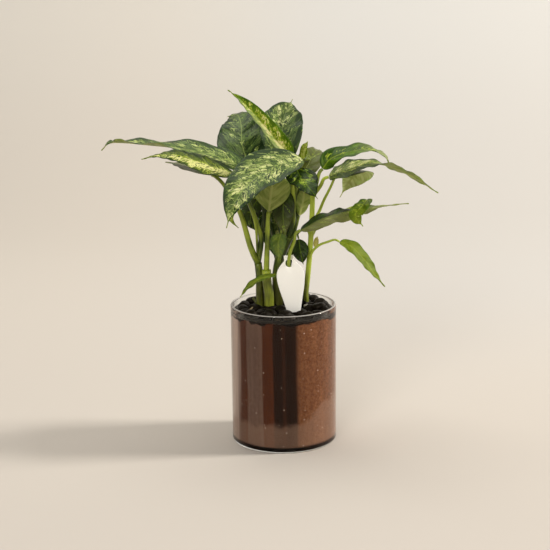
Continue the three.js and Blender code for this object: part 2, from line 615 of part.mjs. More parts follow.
function pebblesGeometry() {
  const bottom = SOIL_TOP + CLEARANCE;
  const bed = uprightCylinder(FILLING_RADIUS, bottom, bottom + PEBBLE_BED, [0, 0], GLASS_SIDES);
  const pieces = [solidOf(bed)];
  let number = 0;
  for (const { count, radius, level, from, to } of PEBBLE_RINGS)
    for (let i = 0; i < count; i++) {
      number += 1;
      const degrees = mix(from, to, i / count) + PEBBLE_TURN * (draw(number) - 0.5);
      const angle = THREE.MathUtils.degToRad(degrees);
      const out = radius + PEBBLE_SHIFT * (draw(number + 100) - 0.5);
      const lift = PEBBLE_SHIFT * (draw(number + 200) - 0.5);
      const place = [out * Math.cos(angle), out * Math.sin(angle), level + lift];
      pieces.push(solidOf(pebbleGeometry(number, place)));
    }
  const room = solidOf(uprightCylinder(FILLING_RADIUS, bottom, CANE_STRAIGHT[1], [0, 0], GLASS_SIDES));
  const seats = [
    solidOf(stoneGeometry(CLEARANCE)),
    solidOf(rodGeometry(DRY_STEM, CLEARANCE)),
    solidOf(rodGeometry(STUB, CLEARANCE)),
    solidOf(tagSeat()),
  ];
  const layer = joined(pieces).intersect(room).subtract(joined([caneHoles(), ...seats]));
  return geometryOf(outermost(layer));
}

// A solid without the hollows that are closed in on all sides: the largest of its surfaces, filled.
function outermost(solid) {
  const surfaces = solid.decompose();
  surfaces.sort((a, b) => b.volume() - a.volume());
  return surfaces[0];
}

function stoneGeometry(room) {
  const geometry = new THREE.IcosahedronGeometry(0.5, 0);
  geometry.scale(...PALE_STONE.size.map((side) => side + 2 * room));
  geometry.translate(...PALE_STONE.middle);
  return geometry;
}

// A blank card: a neck with a punched hole, round shoulders and a tapered body.
function tagGeometry() {
  const { length, thickness, holeRadius, holeBelowTop } = TAG;
  const [half, end, neck] = [TAG.width / 2, TAG.endWidth / 2, TAG.neckWidth / 2];
  const neckFoot = length - TAG.neckLength;
  const card = new THREE.Shape();
  card.moveTo(-end, 0);
  card.lineTo(end, 0);
  card.bezierCurveTo(half * 0.72, length * 0.3, half, length * 0.45, half, length * 0.62);
  card.bezierCurveTo(half, length * 0.76, half * 0.72, length * 0.82, neck, neckFoot);
  card.lineTo(neck, length);
  card.lineTo(-neck, length);
  card.lineTo(-neck, neckFoot);
  card.bezierCurveTo(-half * 0.72, length * 0.82, -half, length * 0.76, -half, length * 0.62);
  card.bezierCurveTo(-half, length * 0.45, -half * 0.72, length * 0.3, -end, 0);
  const hole = new THREE.Path();
  hole.absarc(0, length - holeBelowTop, holeRadius, 0, 2 * Math.PI, true);
  card.holes.push(hole);
  const options = { depth: thickness, bevelEnabled: false, curveSegments: 5 };
  const geometry = new THREE.ExtrudeGeometry(card, options);
  geometry.translate(0, 0, -thickness / 2);
  return geometry;
}

// Where the tag stands: x runs across the card, y up along it, and z out of its face.
function tagPlace() {
  const foot = vector(TAG.foot);
  const up = vector(TAG.top).sub(foot).normalize();
  const right = new THREE.Vector3(1, 0, 0).addScaledVector(up, -up.x).normalize();
  const front = new THREE.Vector3().crossVectors(right, up);
  return new THREE.Matrix4().makeBasis(right, up, front).setPosition(foot);
}

function tagSeat() {
  const seat = new THREE.BoxGeometry(TAG.seatWidth, TAG.seatHeight, TAG.thickness + 2 * CLEARANCE);
  seat.translate(0, TAG.seatHeight / 2 - CLEARANCE, 0);
  return seat.applyMatrix4(tagPlace());
}

// ---- The whole plant ----
const plant = new THREE.Group();
plant.add(mesh("glass_pot", glassGeometry(), "glass", 0.05));
plant.add(mesh("soil", soilGeometry(), "soil", 0.95));
plant.add(mesh("pebbles", pebblesGeometry(), "pebble", 0.45));
plant.add(mesh("pale_stone", stoneGeometry(0), "paleStone", 0.7));
plant.add(mesh("dry_stem", rodGeometry(DRY_STEM, 0), "straw", 0.8));
plant.add(mesh("dry_sheath", bladeGeometry(DRY_SHEATH), "sheath", 0.6));
plant.add(mesh("tag", tagGeometry().applyMatrix4(tagPlace()), "tag", 0.7));
for (const name of Object.keys(CANES))
  plant.add(mesh("shoot_" + name, shootGeometry(name), "stalk", 0.5));
for (const [name, leaf] of Object.entries(LEAVES))
  plant.add(mesh(name, bladeGeometry(leaf), leaf.colour, 0.4));

export default plant;
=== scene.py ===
import math

import bpy
import numpy as np
from mathutils import Matrix, Vector


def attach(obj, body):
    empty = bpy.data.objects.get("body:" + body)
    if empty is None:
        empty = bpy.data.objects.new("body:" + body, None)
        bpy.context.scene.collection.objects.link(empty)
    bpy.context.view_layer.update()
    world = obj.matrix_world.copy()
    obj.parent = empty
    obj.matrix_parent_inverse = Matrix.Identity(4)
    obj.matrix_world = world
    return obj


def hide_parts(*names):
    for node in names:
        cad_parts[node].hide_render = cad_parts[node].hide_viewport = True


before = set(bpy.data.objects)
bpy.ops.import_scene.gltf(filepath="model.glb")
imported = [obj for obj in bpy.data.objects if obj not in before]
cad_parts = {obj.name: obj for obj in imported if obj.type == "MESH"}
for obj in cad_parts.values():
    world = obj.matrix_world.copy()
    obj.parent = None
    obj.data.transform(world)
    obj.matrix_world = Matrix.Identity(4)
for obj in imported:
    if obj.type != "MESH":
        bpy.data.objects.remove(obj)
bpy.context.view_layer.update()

MM = 0.001

# ---- Sizes, in millimetres, the same as the solids have ----
GLASS_RADIUS = 60
GLASS_HEIGHT = 160
GLASS_WALL = 3
GLASS_BASE = 6
GLASS_FOOT_ROUND = 3.5
CLEARANCE = 0.3  # between neighbouring pieces
FILLING_RADIUS = GLASS_RADIUS - GLASS_WALL - 0.5  # of the pebbles and their bed
SOIL_TOP = 151
HOLE_DEPTH = 32  # how far the canes stand in the soil
PEBBLE_BED = 2  # the layer that the pebbles are sunk in

PEBBLE_SIZE = [(16, 21), (13, 16), (11, 14)]  # least and greatest length, width and height
PEBBLE_SHIFT = 2  # how far a pebble may lie off its ring or its height, in all
PEBBLE_TURN = 10  # and along it, in degrees
PEBBLE_TILT = 0.6  # in radians
# Rings of pebbles: how many, how far out, how high their middles lie, and the arc they fill in degrees.
PEBBLE_RINGS = [
    (18, 47, 153.5, 0, 360),
    (12, 31, 154, 8, 368),
    (6, 15, 154.5, 20, 380),
    (7, 41, 158.5, -20, 150),
    (4, 26, 158, 15, 165),
]

BLADE_THICKNESS = 0.8
MIDRIB_KEEL = 0.9  # how far the midrib stands out below, at the base of a blade
STALK_END = 1.5  # half the width of a blade where its stalk meets it
TIP_END = 0.45  # half the width of a blade's very tip
TIP_THREAD = 0.07  # share of its length that the drawn-out tip takes
LEFT_WAVE_SHIFT = 0.35  # how far the left edge's waves run ahead of the right edge's
ALIGNED = 6  # length over which a stalk runs in line with its blade
STALK_ROOT = 14  # how far below the start of its own route a stalk grows from its cane
CANE_TAPER = 0.85  # a cane's top radius as a share of its foot's
CANE_STRAIGHT = (157, 172)  # a cane is straight and upright up to these heights
CANE_SAMPLES = 60  # points of a cane that are tried for where a stalk grows from it

# ---- Finer sizes, which only the looks have ----
SOIL_CLING = 0.05  # how far the damp soil reaches into the glass
LIP_ROUND = 1.35  # the rounding of the glass's upper edges
LIP_BAND = 0.6  # height of the ground part of the lip
ROUND_SIDES = 128  # of the glass, the soil and the pebbles' bed
RING_SLACK = 0.2  # how far off its ring a point may lie

PEBBLE_FLATS = 7
FLAT_START = (0.8, 0.12)  # where a flat cuts, as a share of the ball's radius, and how much that varies

BLADE_ROWS = 44  # along a blade
BLADE_COLUMNS = 16  # across it
COLUMN_CROWDING = 1.35  # over 1, they lie closer at the midrib
RIM_THINNING = 0.45  # share of its thickness that a blade loses at its edge
KEEL_WIDTH = 1.5
GROOVE_DEPTH, GROOVE_WIDTH = 0.25, 0.9  # of the groove above the midrib
VEIN_SWEEP = (0.7, 0.012)  # how far a side vein runs tipwards per millimetre out, and how it grows
# Puckers: height, wavelength over 2 pi, and in radians, the turn from leaf to leaf and the left half's lead.
BROAD_PUCKER = (0.55, 3.4, 1, 1.9)
NARROW_PUCKER = (0.3, 1.75, 2.3, 3.8)
EDGE_RIPPLE = (0.6, 2.3, 1.7, 1.9)
SPINE_STEP = 1e-4  # how far to either side a midrib's direction is measured
SURFACE_STEP = 0.01  # how far to either side a blade's slope is measured
SPINE_SAMPLES, CURVE_SAMPLES = 200, 600  # points that measure a midrib, a stalk
SEED_STEP = 7.3  # from one leaf's mottling to the next one's

CANE_SIDES, STALK_SIDES, STRAW_SIDES = 16, 12, 10
STALK_STEP = 2.5  # length of one facet of a stalk
STALK_GROOVE = (0.3, 0.55)  # its channel: depth as a share of its radius, width in radians
FRONT_SIDE = (0.3, -1, 0.1)  # from which the seam of one without a channel is turned away

SLOTS = {"leaf_bright": "leaf_mottled"}  # the record's slot, where a finish has another name
# Painted light: these leaves' undersides are painted paler.
PAINTED_LIT_BELOW = ("leaf_right_drooping",)  # leaves whose undersides are paler

# ---- The canes: where each stands, its radius, and its route above the pebbles ----
CANES = {
    "left": ((-26.5, 6), 5, [(-26.5, 6, 190), (-28, 5, 206)]),
    "front": ((-16, -4), 6, [(-18, -4, 185), (-18.5, -5, 200)]),
    "centre": ((-6.5, 9), 6.4, [(-6, 8, 195), (-2, 6, 215), (7, 5, 236)]),
    "tagged": ((10, 1), 2.6, [(9.5, -1, 184), (8, -4, 194)]),
    "right": ((26, 4), 3.3, [(28, 3, 190), (31, 0, 225), (33, -4, 262), (34, -6, 290)]),
}

# ---- The leaves ----
# spine: the midrib from base to tip.  face: where the upper side looks.  fold: how far the left and the
# right half are raised, in degrees.  wave: height, number and start of the edge waves.  swell: powers of
# the outline.  stalk: the cane it grows from, its route, and its radius at the root and the end.
# paint: the finish, and how cream, how dark (partly painted shade) and how greyed by a painted sheen
# both halves and the tip are, or the left half, the right half and the tip.
LEAVES = {}
LEAVES["leaf_young"] = dict(
    spine=[(12, 14, 327), (-1, 8, 339), (-17, -2, 360), (-34, -11, 381), (-47, -17, 395), (-58, -20, 404)],
    width=24, face=[(0.3, -0.9, 0.3), (0.5, -0.7, 0.4)], fold=[(38, 34), (30, 30)], wave=(0.6, 2, 0),
    swell=(0.5, 1.1), stalk=("centre", [(9, 9, 240), (15, 15, 285)], (2.4, 2)),
    paint=("leaf_bright", (0.6, 0.3, 0.85), (0.54, 0.3, 0), (0.3, 0.6, 0)),
)
LEAVES["leaf_back_left"] = dict(
    spine=[(-39, 21, 318), (-45, 33, 339), (-46, 52, 356), (-51, 72, 366), (-63, 92, 362)],
    width=57, face=[(0.1, -0.7, 0.6), (-0.1, -0.3, 0.9)], fold=[(-8, -8), (-10, 4)], wave=(1.8, 3, 0.3),
    swell=(0.34, 0.8), stalk=("centre", [(-4, 12, 208), (-14, 26, 250), (-31, 28, 298)], (2.4, 1.8)),
    paint=("leaf_mottled", (0.25, 1, 0.2), (0.15, 1, 0), (0.35, 0.9, 0.3)),
)
LEAVES["leaf_back_right"] = dict(
    spine=[(8, 20, 319), (2, 30, 338), (1, 44, 355), (5, 58, 370), (13, 66, 384)],
    width=52, face=[(0, -0.8, 0.5), (-0.1, -0.6, 0.7)], fold=[(10, 24), (10, 20)], wave=(1.8, 3, 0.1),
    swell=(0.6, 0.6), stalk=("centre", [(7, 11, 240), (9, 21, 285)], (2.4, 1.8)),
    paint=("leaf_mottled", (0.55, 0.8, 0.2), (0.3, 1, 0.2), (0.55, 0.8, 0.3)),
)
LEAVES["leaf_left_wavy"] = dict(
    spine=[(-40, 5, 314), (-74, 8, 328), (-112, 7, 337), (-147, 2, 342), (-178, -5, 346),
           (-191, -9, 345), (-198, -12, 338)],
    width=38, face=[(0.2, -0.5, 0.8), (0, 0, 1), (0, 0.2, 1)], fold=[(6, 12), (20, 12)],
    wave=(2.8, 4, 0.09), swell=(0.4, 1),
    stalk=("left", [(-24, 10, 234), (-21, 10, 262), (-26, 8, 290)], (2, 1.6)),
    paint=("leaf_mottled", (0.42, 0.7, 0.1), (0.42, 0.8, 0.2), (0.15, 0.4, 0.1)),
)
LEAVES["leaf_left_cream"] = dict(
    spine=[(-51, -14, 311), (-72, -26, 320), (-94, -32, 329), (-115, -35, 336), (-134, -37, 336),
           (-152, -38, 332)],
    width=33, face=[(0.1, -0.6, 0.75), (0, -0.5, 0.85)], fold=[(8, -14), (4, -16)], wave=(1, 3, 0.4),
    swell=(0.6, 1.2),
    stalk=("left", [(-24, 3, 234), (-29, 1, 254), (-36, -4, 275), (-43, -9, 294)], (3.8, 2)),
    paint=("leaf_olive", (0.8, 0.9, 0), (0.25, 0.9, 0), (0.4, 0.7, 0)),
)
LEAVES["leaf_left_under"] = dict(
    spine=[(-77, -8, 309), (-98, 18, 313), (-118, 44, 314), (-135, 70, 312)],
    width=60, face=[(0, 0.1, 1), (0, 0.2, 1)], fold=[(8, 6)], wave=(0.8, 2, 0), swell=(0.35, 0.9),
    stalk=("left", [(-36, -3, 227), (-47, -9, 267), (-63, -12, 297)], (4, 2)),
    paint=("leaf_dark", (0.1, 0.7, 0.5), (0.1, 0.7, 0.4), (0.1, 0.6, 0.8)),
)
LEAVES["leaf_front"] = dict(
    spine=[(24, -12, 325), (0, -28, 324), (-22, -48, 316), (-40, -68, 304), (-53, -84, 286), (-59, -92, 266)],
    width=54, face=[(-0.1, -0.65, 0.75), (-0.2, -0.7, 0.65), (-0.35, -0.85, 0.4)],
    fold=[(14, 20), (12, 12)], wave=(1.8, 3, 0.2), swell=(0.75, 1.05),
    stalk=("centre", [(12, 6, 246), (13, 9, 272), (17, 6, 300)], (3.4, 2.2)),
    paint=("leaf_mottled", (0.5, 1, 0.2), (0.5, 1, 0.3), (0.58, 0.9, 0)),
)
LEAVES["leaf_front_dark"] = dict(
    spine=[(16, -18, 317), (21, -30, 308), (28, -44, 301), (38, -56, 290)],
    width=35, face=[(0.1, -0.6, 0.8), (0.2, -0.7, 0.7)], fold=[(8, 8)], wave=(0.8, 2, 0), swell=(0.45, 0.8),
    stalk=("centre", [(11, 2, 246), (13, 0, 275), (11, -8, 302)], (2.6, 1.8)),
    paint=("leaf_dark", (0.4, 0.9, 0), (0.45, 1, 0), (0.2, 0.9, 0)),
)
LEAVES["leaf_behind_right"] = dict(
    spine=[(25, 16, 304), (31, 26, 317), (38, 42, 327), (44, 60, 326)],
    width=30, face=[(0, -0.7, 0.7), (0.2, -0.4, 0.9)], fold=[(10, 14)], wave=(0.8, 2, 0.2),
    swell=(0.5, 0.9), stalk=("centre", [(13, 9, 250), (21, 12, 280)], (2.2, 1.6)),
    paint=("leaf_dark", (0.35, 0.5, 0.5), (0.2, 0.5, 0.6)),
)
LEAVES["leaf_rolled_tip"] = dict(
    spine=[(22, 14, 322), (24, 13, 333), (29, 11, 343)],
    width=10, face=[(0.6, -0.8, 0), (-0.3, -0.9, 0.2)], fold=[(25, 25)], wave=(0, 1, 0), swell=(0.6, 0.7),
    stalk=("centre", [(12, 9, 246), (18, 13, 285)], (1.8, 1.4)),
    paint=("leaf_plain", (0.6, 0.3, 0), (0.6, 0.3, 0)),
)
LEAVES["leaf_right_arched"] = dict(
    spine=[(45, -8, 315), (54, -8, 326), (72, -9, 333), (94, -11, 336), (112, -11, 330), (120, -9, 317)],
    width=29, face=[(-0.3, -0.9, 0.3), (-0.1, -0.4, 0.9), (-0.1, -0.1, 1), (0.4, -0.1, 0.9)],
    fold=[(10, 10), (8, 8)], wave=(1.6, 3, 0.3), swell=(0.55, 0.7),
    stalk=("right", [(37, -8, 294)], (2.6, 1.9)), paint=("leaf_bright", (0.1, 0.8, 0), (0.2, 1, 1.5)),
)
LEAVES["leaf_right_long"] = dict(
    spine=[(51, -32, 310), (69, -38, 318), (94, -38, 325), (119, -38, 321), (144, -40, 309), (169, -44, 293)],
    width=38, face=[(0, 0, 1), (0, 0, 1), (0.2, 0.4, 0.9), (0.4, 0.5, 0.8)],
    fold=[(36, -24), (16, -8), (4, 4), (4, 4)], wave=(1.8, 4, 0), swell=(0.45, 0.9),
    stalk=("right", [(42, -20, 298)], (2.6, 1.9)),
    paint=("leaf_olive", (0.6, 0.5, 0.4), (0.2, 0.9, 0), (0.2, 0.5, 0.1)),
)
LEAVES["leaf_right_drooping"] = dict(
    spine=[(62, -18, 309), (75, -2, 312), (84, 13, 309), (79, 22, 300), (73, 23, 291), (65, 18, 278)],
    width=41, face=[(0, -0.2, 1), (0.4, 0.6, 0.7), (0.3, 0.95, 0.1)], fold=[(4, 4)], wave=(1, 2, 0.3),
    swell=(0.5, 1.1), stalk=("right", [(40, -6, 265), (46, -10, 280), (53, -15, 295)], (2, 1.4)),
    paint=("leaf_olive", (0.4, 0.5, 0.1), (0.3, 0.5, 0)),
)
LEAVES["leaf_right_low"] = dict(
    spine=[(20, -28, 250), (44, -26, 262), (66, -18, 267), (86, -6, 269), (114, 8, 270), (143, 15, 271)],
    width=30, face=[(0, -0.25, 1), (0, -0.05, 1), (0, 0, 1), (0, 0.2, 1)],
    fold=[(4, -8), (4, -22), (4, -16), (6, 6)], wave=(1.8, 4, 0.2), swell=(0.4, 0.95),
    stalk=("tagged", [(7.5, -9, 200), (6.3, -17, 210.5), (8, -24, 224), (13, -28, 238)], (2.1, 1.8)),
    paint=("leaf_dark", (0.1, 0.9, 0), (0.4, 0.6, 1), (0.6, 0.6, 0.9)),
)
LEAVES["leaf_right_crossing"] = dict(
    spine=[(93, 28, 269), (95, 8, 277), (88, -20, 275), (80, -34, 267), (88, -40, 256)],
    width=17, face=[(0, 0, 1), (0, -0.4, 0.9), (-0.2, -0.95, 0.2)], fold=[(4, 4), (8, 8)], wave=(0.5, 2, 0),
    swell=(0.8, 0.5), stalk=("right", [(42, 12, 250), (63, 26, 258), (80, 33, 264)], (1.9, 1.4)),
    paint=("leaf_plain", (0.1, 1, 0), (0.4, 0.1, 0)),
)
LEAVES["leaf_right_plain"] = dict(
    spine=[(64, -6, 232), (77, -10, 227), (91, -14, 213), (102, -17, 198), (114, -20, 183)],
    width=20, face=[(0.3, -0.5, 0.8), (0.6, -0.6, 0.5)], fold=[(8, 8)], wave=(0.6, 3, 0), swell=(0.5, 0.9),
    stalk=("right", [(33, -3, 220), (41, -4, 228), (51, -5, 232)], (1.8, 1.2)),
    paint=("leaf_plain", (0.05, 0.3, 0), (0, 0.3, 0)),
)
LEAVES["leaf_centre_under"] = dict(
    spine=[(-15, -14, 269), (-13, -17, 284), (-11, -19, 300), (-9, -20, 316)],
    width=44, face=[(0, 0.9, 0.3), (0, 0.9, 0.4)], fold=[(10, 10)], wave=(0.8, 2, 0), swell=(0.85, 0.6),
    stalk=("front", [(-17, -8, 237)], (3.2, 2.2)), paint=("leaf_olive", (0.4, 0.5, 0), (0.4, 0.5, 0)),
)
LEAVES["leaf_centre_dark"] = dict(
    spine=[(2, -1, 291), (1, -8, 274), (1, -13, 257), (3, -15, 241)],
    width=26, face=[(0, -0.9, 0.4), (0, -0.95, 0.3)], fold=[(12, 12)], wave=(0.5, 2, 0), swell=(0.5, 0.9),
    stalk=("centre", [(9, 1, 242), (9, 2, 272), (7, 5, 294)], (2, 1.5)),
    paint=("leaf_dark", (0.1, 1, 0.1), (0.2, 0.7, 0.5)),
)
LEAVES["leaf_centre_small"] = dict(
    spine=[(-2, -6, 242), (-5, -12, 230), (-3, -14, 212)],
    width=19, face=[(-0.2, -0.9, 0.5), (-0.1, -0.95, 0.3)], fold=[(10, 10)], wave=(0.3, 1, 0),
    swell=(0.5, 0.8), stalk=("centre", [(0, 2, 225), (1, 1, 240)], (1.6, 1.2)),
    paint=("leaf_plain", (0, 0.8, 0.3), (0, 0.8, 0.2), (0.1, 0.5, 0.4)),
)
LEAVES["leaf_beside_tag"] = dict(
    spine=[(18, -4, 235), (20, -7, 221), (23, -9, 207)],
    width=19, face=[(0, -0.95, 0.3)], fold=[(10, 10)], wave=(0.3, 1, 0), swell=(0.6, 0.8),
    stalk=("right", [(29, -1, 243), (23, -5, 246)], (1.5, 1)),
    paint=("leaf_dark", (0.1, 0.8, 0), (0.1, 0.8, 0)),
)
LEAVES["leaf_low_narrow"] = dict(
    spine=[(-8, -16, 197), (-23, -24, 195), (-37, -31, 188), (-48, -37, 177)],
    width=13, face=[(0, -0.2, 1), (-0.3, -0.3, 0.9)], fold=[(12, 12)], wave=(0.4, 2, 0), swell=(0.5, 0.8),
    stalk=("centre", [(-5, 0, 188), (-4, -9, 196)], (1.8, 1.2)),
    paint=("leaf_plain", (0.1, 0.7, 0.1), (0.1, 0.6, 0.1)),
)
LEAVES["leaf_shade_left"] = dict(
    spine=[(-23, 18, 283), (-34, 22, 266), (-36, 21, 252), (-30, 18, 239)],
    width=24, face=[(-0.2, -0.9, 0.4), (-0.1, -0.95, 0.3)], fold=[(6, 6)], wave=(0.5, 2, 0),
    swell=(0.5, 0.9), stalk=("left", [(-25, 12, 230), (-18, 13, 262), (-17, 15, 281)], (2, 1.4)),
    paint=("leaf_dark", (0.3, 0.7, 0.1), (0.2, 0.7, 0.1)),
)
LEAVES["leaf_pale_tip"] = dict(
    spine=[(-45, -22, 290), (-54, -36, 278), (-56, -42, 266), (-48, -42, 256)],
    width=10, face=[(-0.4, -0.8, 0.4), (0.2, -0.9, 0.3)], fold=[(14, 14)], wave=(0, 1, 0), swell=(0.5, 1.1),
    stalk=("left", [(-30, -4, 250), (-38, -13, 280)], (1.6, 1.2)),
    paint=("leaf_plain", (0.7, 0.2, 0.3), (0.5, 0.3, 0.2)),
)
LEAVES["leaf_centre_pale"] = dict(
    spine=[(19, 3, 261), (22, 4, 271), (24, 4, 282), (25, 3, 293)],
    width=15, face=[(0, 0.8, 0.5)], fold=[(6, 6)], wave=(0.4, 1, 0), swell=(0.6, 0.5),
    stalk=("centre", [(11, 2, 236), (16, 2, 250)], (1.8, 1.4)),
    paint=("leaf_plain", (0.4, 0.3, 0.1), (0.3, 0.3, 0.1)),
)
LEAVES["leaf_shade_right"] = dict(
    spine=[(22, 18, 286), (26, 30, 284), (28, 40, 273), (27, 44, 259)],
    width=22, face=[(0, -0.3, 1), (0.1, 0.5, 0.8), (0.1, 0.9, 0.2)], fold=[(6, 6)], wave=(0.5, 2, 0),
    swell=(0.5, 0.9), stalk=("centre", [(13, 9, 246), (19, 11, 270)], (1.8, 1.4)),
    paint=("leaf_dark", (0.3, 0.7, 0.1), (0.2, 0.7, 0.1)),
)
LEAVES["leaf_rear_left"] = dict(
    spine=[(-22, 30, 262), (-28, 54, 282), (-35, 84, 288), (-44, 112, 272)],
    width=42, face=[(0, -0.6, 0.8), (0, 0, 1), (-0.1, 0.6, 0.8)], fold=[(8, 8)], wave=(1, 3, 0),
    swell=(0.5, 0.9), stalk=("centre", [(-8, 14, 212), (-17, 23, 245)], (2.2, 1.6)),
    paint=("leaf_mottled", (0.5, 0.6, 0.1), (0.5, 0.6, 0.1)),
)
LEAVES["leaf_rear_right"] = dict(
    spine=[(-1, 28, 259), (-6, 39, 244), (-1, 43, 218), (10, 41, 176)],
    width=46, face=[(0, -0.8, 0.6), (0, -1, 0.1), (0, -1, 0)], fold=[(8, 8)], wave=(1, 3, 0.4),
    swell=(0.5, 0.9), stalk=("centre", [(0, 16, 224), (1, 22, 244)], (2.2, 1.6)),
    paint=("leaf_mottled", (0.5, 0.6, 0.1), (0.5, 0.6, 0.1)),
)
LEAVES["leaf_back_shade"] = dict(
    spine=[(-10, 28, 306), (-20, 38, 323), (-32, 48, 333), (-44, 54, 330)],
    width=36, face=[(0, -0.8, 0.6), (0, -0.7, 0.7)], fold=[(8, 8)], wave=(0.8, 2, 0), swell=(0.5, 0.9),
    stalk=("centre", [(-1, 13, 225), (-6, 22, 268)], (2, 1.5)),
    paint=("leaf_dark", (0.4, 0.7, 0.2), (0.3, 0.7, 0.2)),
)

# The dried sheath of a leaf, which still stands at the root of the lowest stalk of the right-hand cane.
DRY_SHEATH = dict(
    spine=[(36, 1, 225), (37.5, 1, 230), (39, 0.5, 237)],
    width=6.5, face=[(0.2, -0.9, 0), (-0.2, -0.9, 0)],
    fold=[(20, 20), (10, 10)], wave=(0, 1, 0), swell=(0.5, 0.5),
    paint=("sheath", (0, 0, 0), (0, 0, 0)), number=40,
)
# A cut stub beside the left cane, a dry bit of stem and a pale stone on the pebbles, and the card.
STUB = dict(cane="left", route=[(-27, 6, 154), (-34.5, 10, 164)], ends=(1.4, 1.4))
DRY_STEM = dict(route=[(-42, -16, 153), (-32, -4, 158.6)], ends=(0.7, 0.7))
PALE_STONE = dict(middle=(27, -7, 158), size=(8, 6, 5.5), number=91)
TAG = dict(
    width=31, neck=11, end=15, length=64, neck_length=6, hole=4.4, hole_below_top=9, thickness=0.8,
    foot=(12, -29, 157), top=(6.5, -15, 219), edge=0.15, cells=(144, 6),
)


# ---- Curves through points ----
def mix(a, b, share):
    return a + (b - a) * share


def unit(v):
    return v / np.maximum(np.linalg.norm(v, axis=-1, keepdims=True), 1e-12)


def route(points, where):
    """Points at the shares `where` of a smooth curve through the given points."""
    p = np.array(points, float)
    p = np.vstack([2 * p[0] - p[1], p, 2 * p[-1] - p[-2]])
    spans = len(points) - 1
    place = np.clip(np.asarray(where, float), 0, 1) * spans
    first = np.minimum(place.astype(int), spans - 1)
    w = (place - first)[:, None]
    a, b, c, d = (p[first + k] for k in range(4))
    start, end = (c - a) / 2, (d - b) / 2
    return b + start * w + (3 * (c - b) - 2 * start - end) * w**2 + (2 * (b - c) + start + end) * w**3


def measured(points, samples):
    """That many points of the curve through the given points, and how far along it each of them lies."""
    fine = route(points, np.linspace(0, 1, samples))
    steps = np.linalg.norm(np.diff(fine, axis=0), axis=1)
    return fine, np.concatenate([[0], np.cumsum(steps)])


def evenly_spaced(points, count):
    """That many points spread evenly by length along the curve through the given points."""
    fine, run = measured(points, CURVE_SAMPLES)
    wanted = np.linspace(0, run[-1], count)
    return np.stack([np.interp(wanted, run, fine[:, k]) for k in range(3)], axis=1)


def along_list(values, t):
    """Values given at even places from 0 to 1, read at the shares t."""
    values = np.array(values, float)
    places = np.linspace(0, 1, len(values))
    return np.stack([np.interp(t, places, column) for column in values.T], axis=-1)


# ---- Meshes and the frame ----
def named(name):
    """The piece that was just made, now with its name."""
    piece = bpy.context.object
    piece.name = piece.data.name = name
    return piece


def flat_sheet(name, columns, rows):
    """A new square sheet of that many cells, whose points are then shaped."""
    bpy.ops.mesh.primitive_grid_add(x_subdivisions=columns, y_subdivisions=rows, size=2)
    return named(name)


def upright_cylinder(name, radius, bottom, top):
    """A new round block that stands on the axis between two heights."""
    bpy.ops.mesh.primitive_cylinder_add(
        vertices=ROUND_SIDES, radius=radius * MM, depth=(top - bottom) * MM,
        location=(0, 0, (top + bottom) / 2 * MM),
    )
    bpy.ops.object.transform_apply(location=True, rotation=False, scale=False)
    return named(name)


def joined(name, parts):
    bpy.ops.object.select_all(action="DESELECT")
    for part in parts:
        part.select_set(True)
    bpy.context.view_layer.objects.active = parts[0]
    bpy.ops.object.join()
    return named(name)


def apply_modifier(piece, kind, **settings):
    modifier = piece.modifiers.new(kind.title(), kind)
    for name, value in settings.items():
        setattr(modifier, name, value)
    bpy.context.view_layer.objects.active = piece
    bpy.ops.object.modifier_apply(modifier=modifier.name)


def on_whole_mesh(step, **settings):
    """Runs one of the mesh tools on everything in the active piece."""
    bpy.ops.object.mode_set(mode="EDIT")
    bpy.ops.mesh.select_all(action="SELECT")
    step(**settings)
    bpy.ops.object.mode_set(mode="OBJECT")


def pick(piece, kind, test):
    """Starts to edit a piece with only those of its edges or faces selected that pass the test."""
    bpy.ops.object.mode_set(mode="EDIT")
    bpy.ops.mesh.select_mode(type=kind)
    bpy.ops.mesh.select_all(action="DESELECT")
    bpy.ops.object.mode_set(mode="OBJECT")
    for item in {"EDGE": piece.data.edges, "FACE": piece.data.polygons}[kind]:
        item.select = test(item)
    bpy.ops.object.mode_set(mode="EDIT")


def round_rim(piece, height, radius, rounding, segments):
    """Rounds off the ring of edges at that height and radius."""
    points = points_of(piece) / MM
    off = np.hypot(np.hypot(points[:, 0], points[:, 1]) - radius, points[:, 2] - height)
    pick(piece, "EDGE", lambda edge: max(off[list(edge.vertices)]) < RING_SLACK)
    bpy.ops.mesh.bevel(offset=rounding * MM, segments=segments)
    bpy.ops.object.mode_set(mode="OBJECT")


def points_of(piece):
    points = np.zeros(len(piece.data.vertices) * 3)
    piece.data.vertices.foreach_get("co", points)
    return points.reshape(-1, 3)


def set_points(piece, points):
    piece.data.vertices.foreach_set("co", (points * MM).ravel())
    piece.data.update()


def paint(piece, name, values):
    """Stores three numbers at each point, which the material reads."""
    layer = piece.data.attributes.new(name, "FLOAT_VECTOR", "POINT")
    layer.data.foreach_set("vector", np.asarray(values, np.float32).ravel())


def finish_piece(piece, slot_name, node, *materials):
    """Gives a piece its materials and body, and hides the imported node that it stands for. The slot name is
    not used.
    """
    for material in materials:
        piece.data.materials.append(material)
    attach(piece, "root")
    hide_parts(node)


# ---- Blades ----
def half_width(leaf, t):
    """Half the blade's width at the shares t along it."""
    rise, fall = leaf["swell"]
    widest = rise / (rise + fall)
    peak = widest**rise * (1 - widest) ** fall
    place = np.minimum(t / (1 - TIP_THREAD), 1)
    bell = place**rise * np.maximum(1 - place, 0) ** fall / peak
    return np.maximum(leaf["width"] / 2 * bell, mix(STALK_END, TIP_END, t))


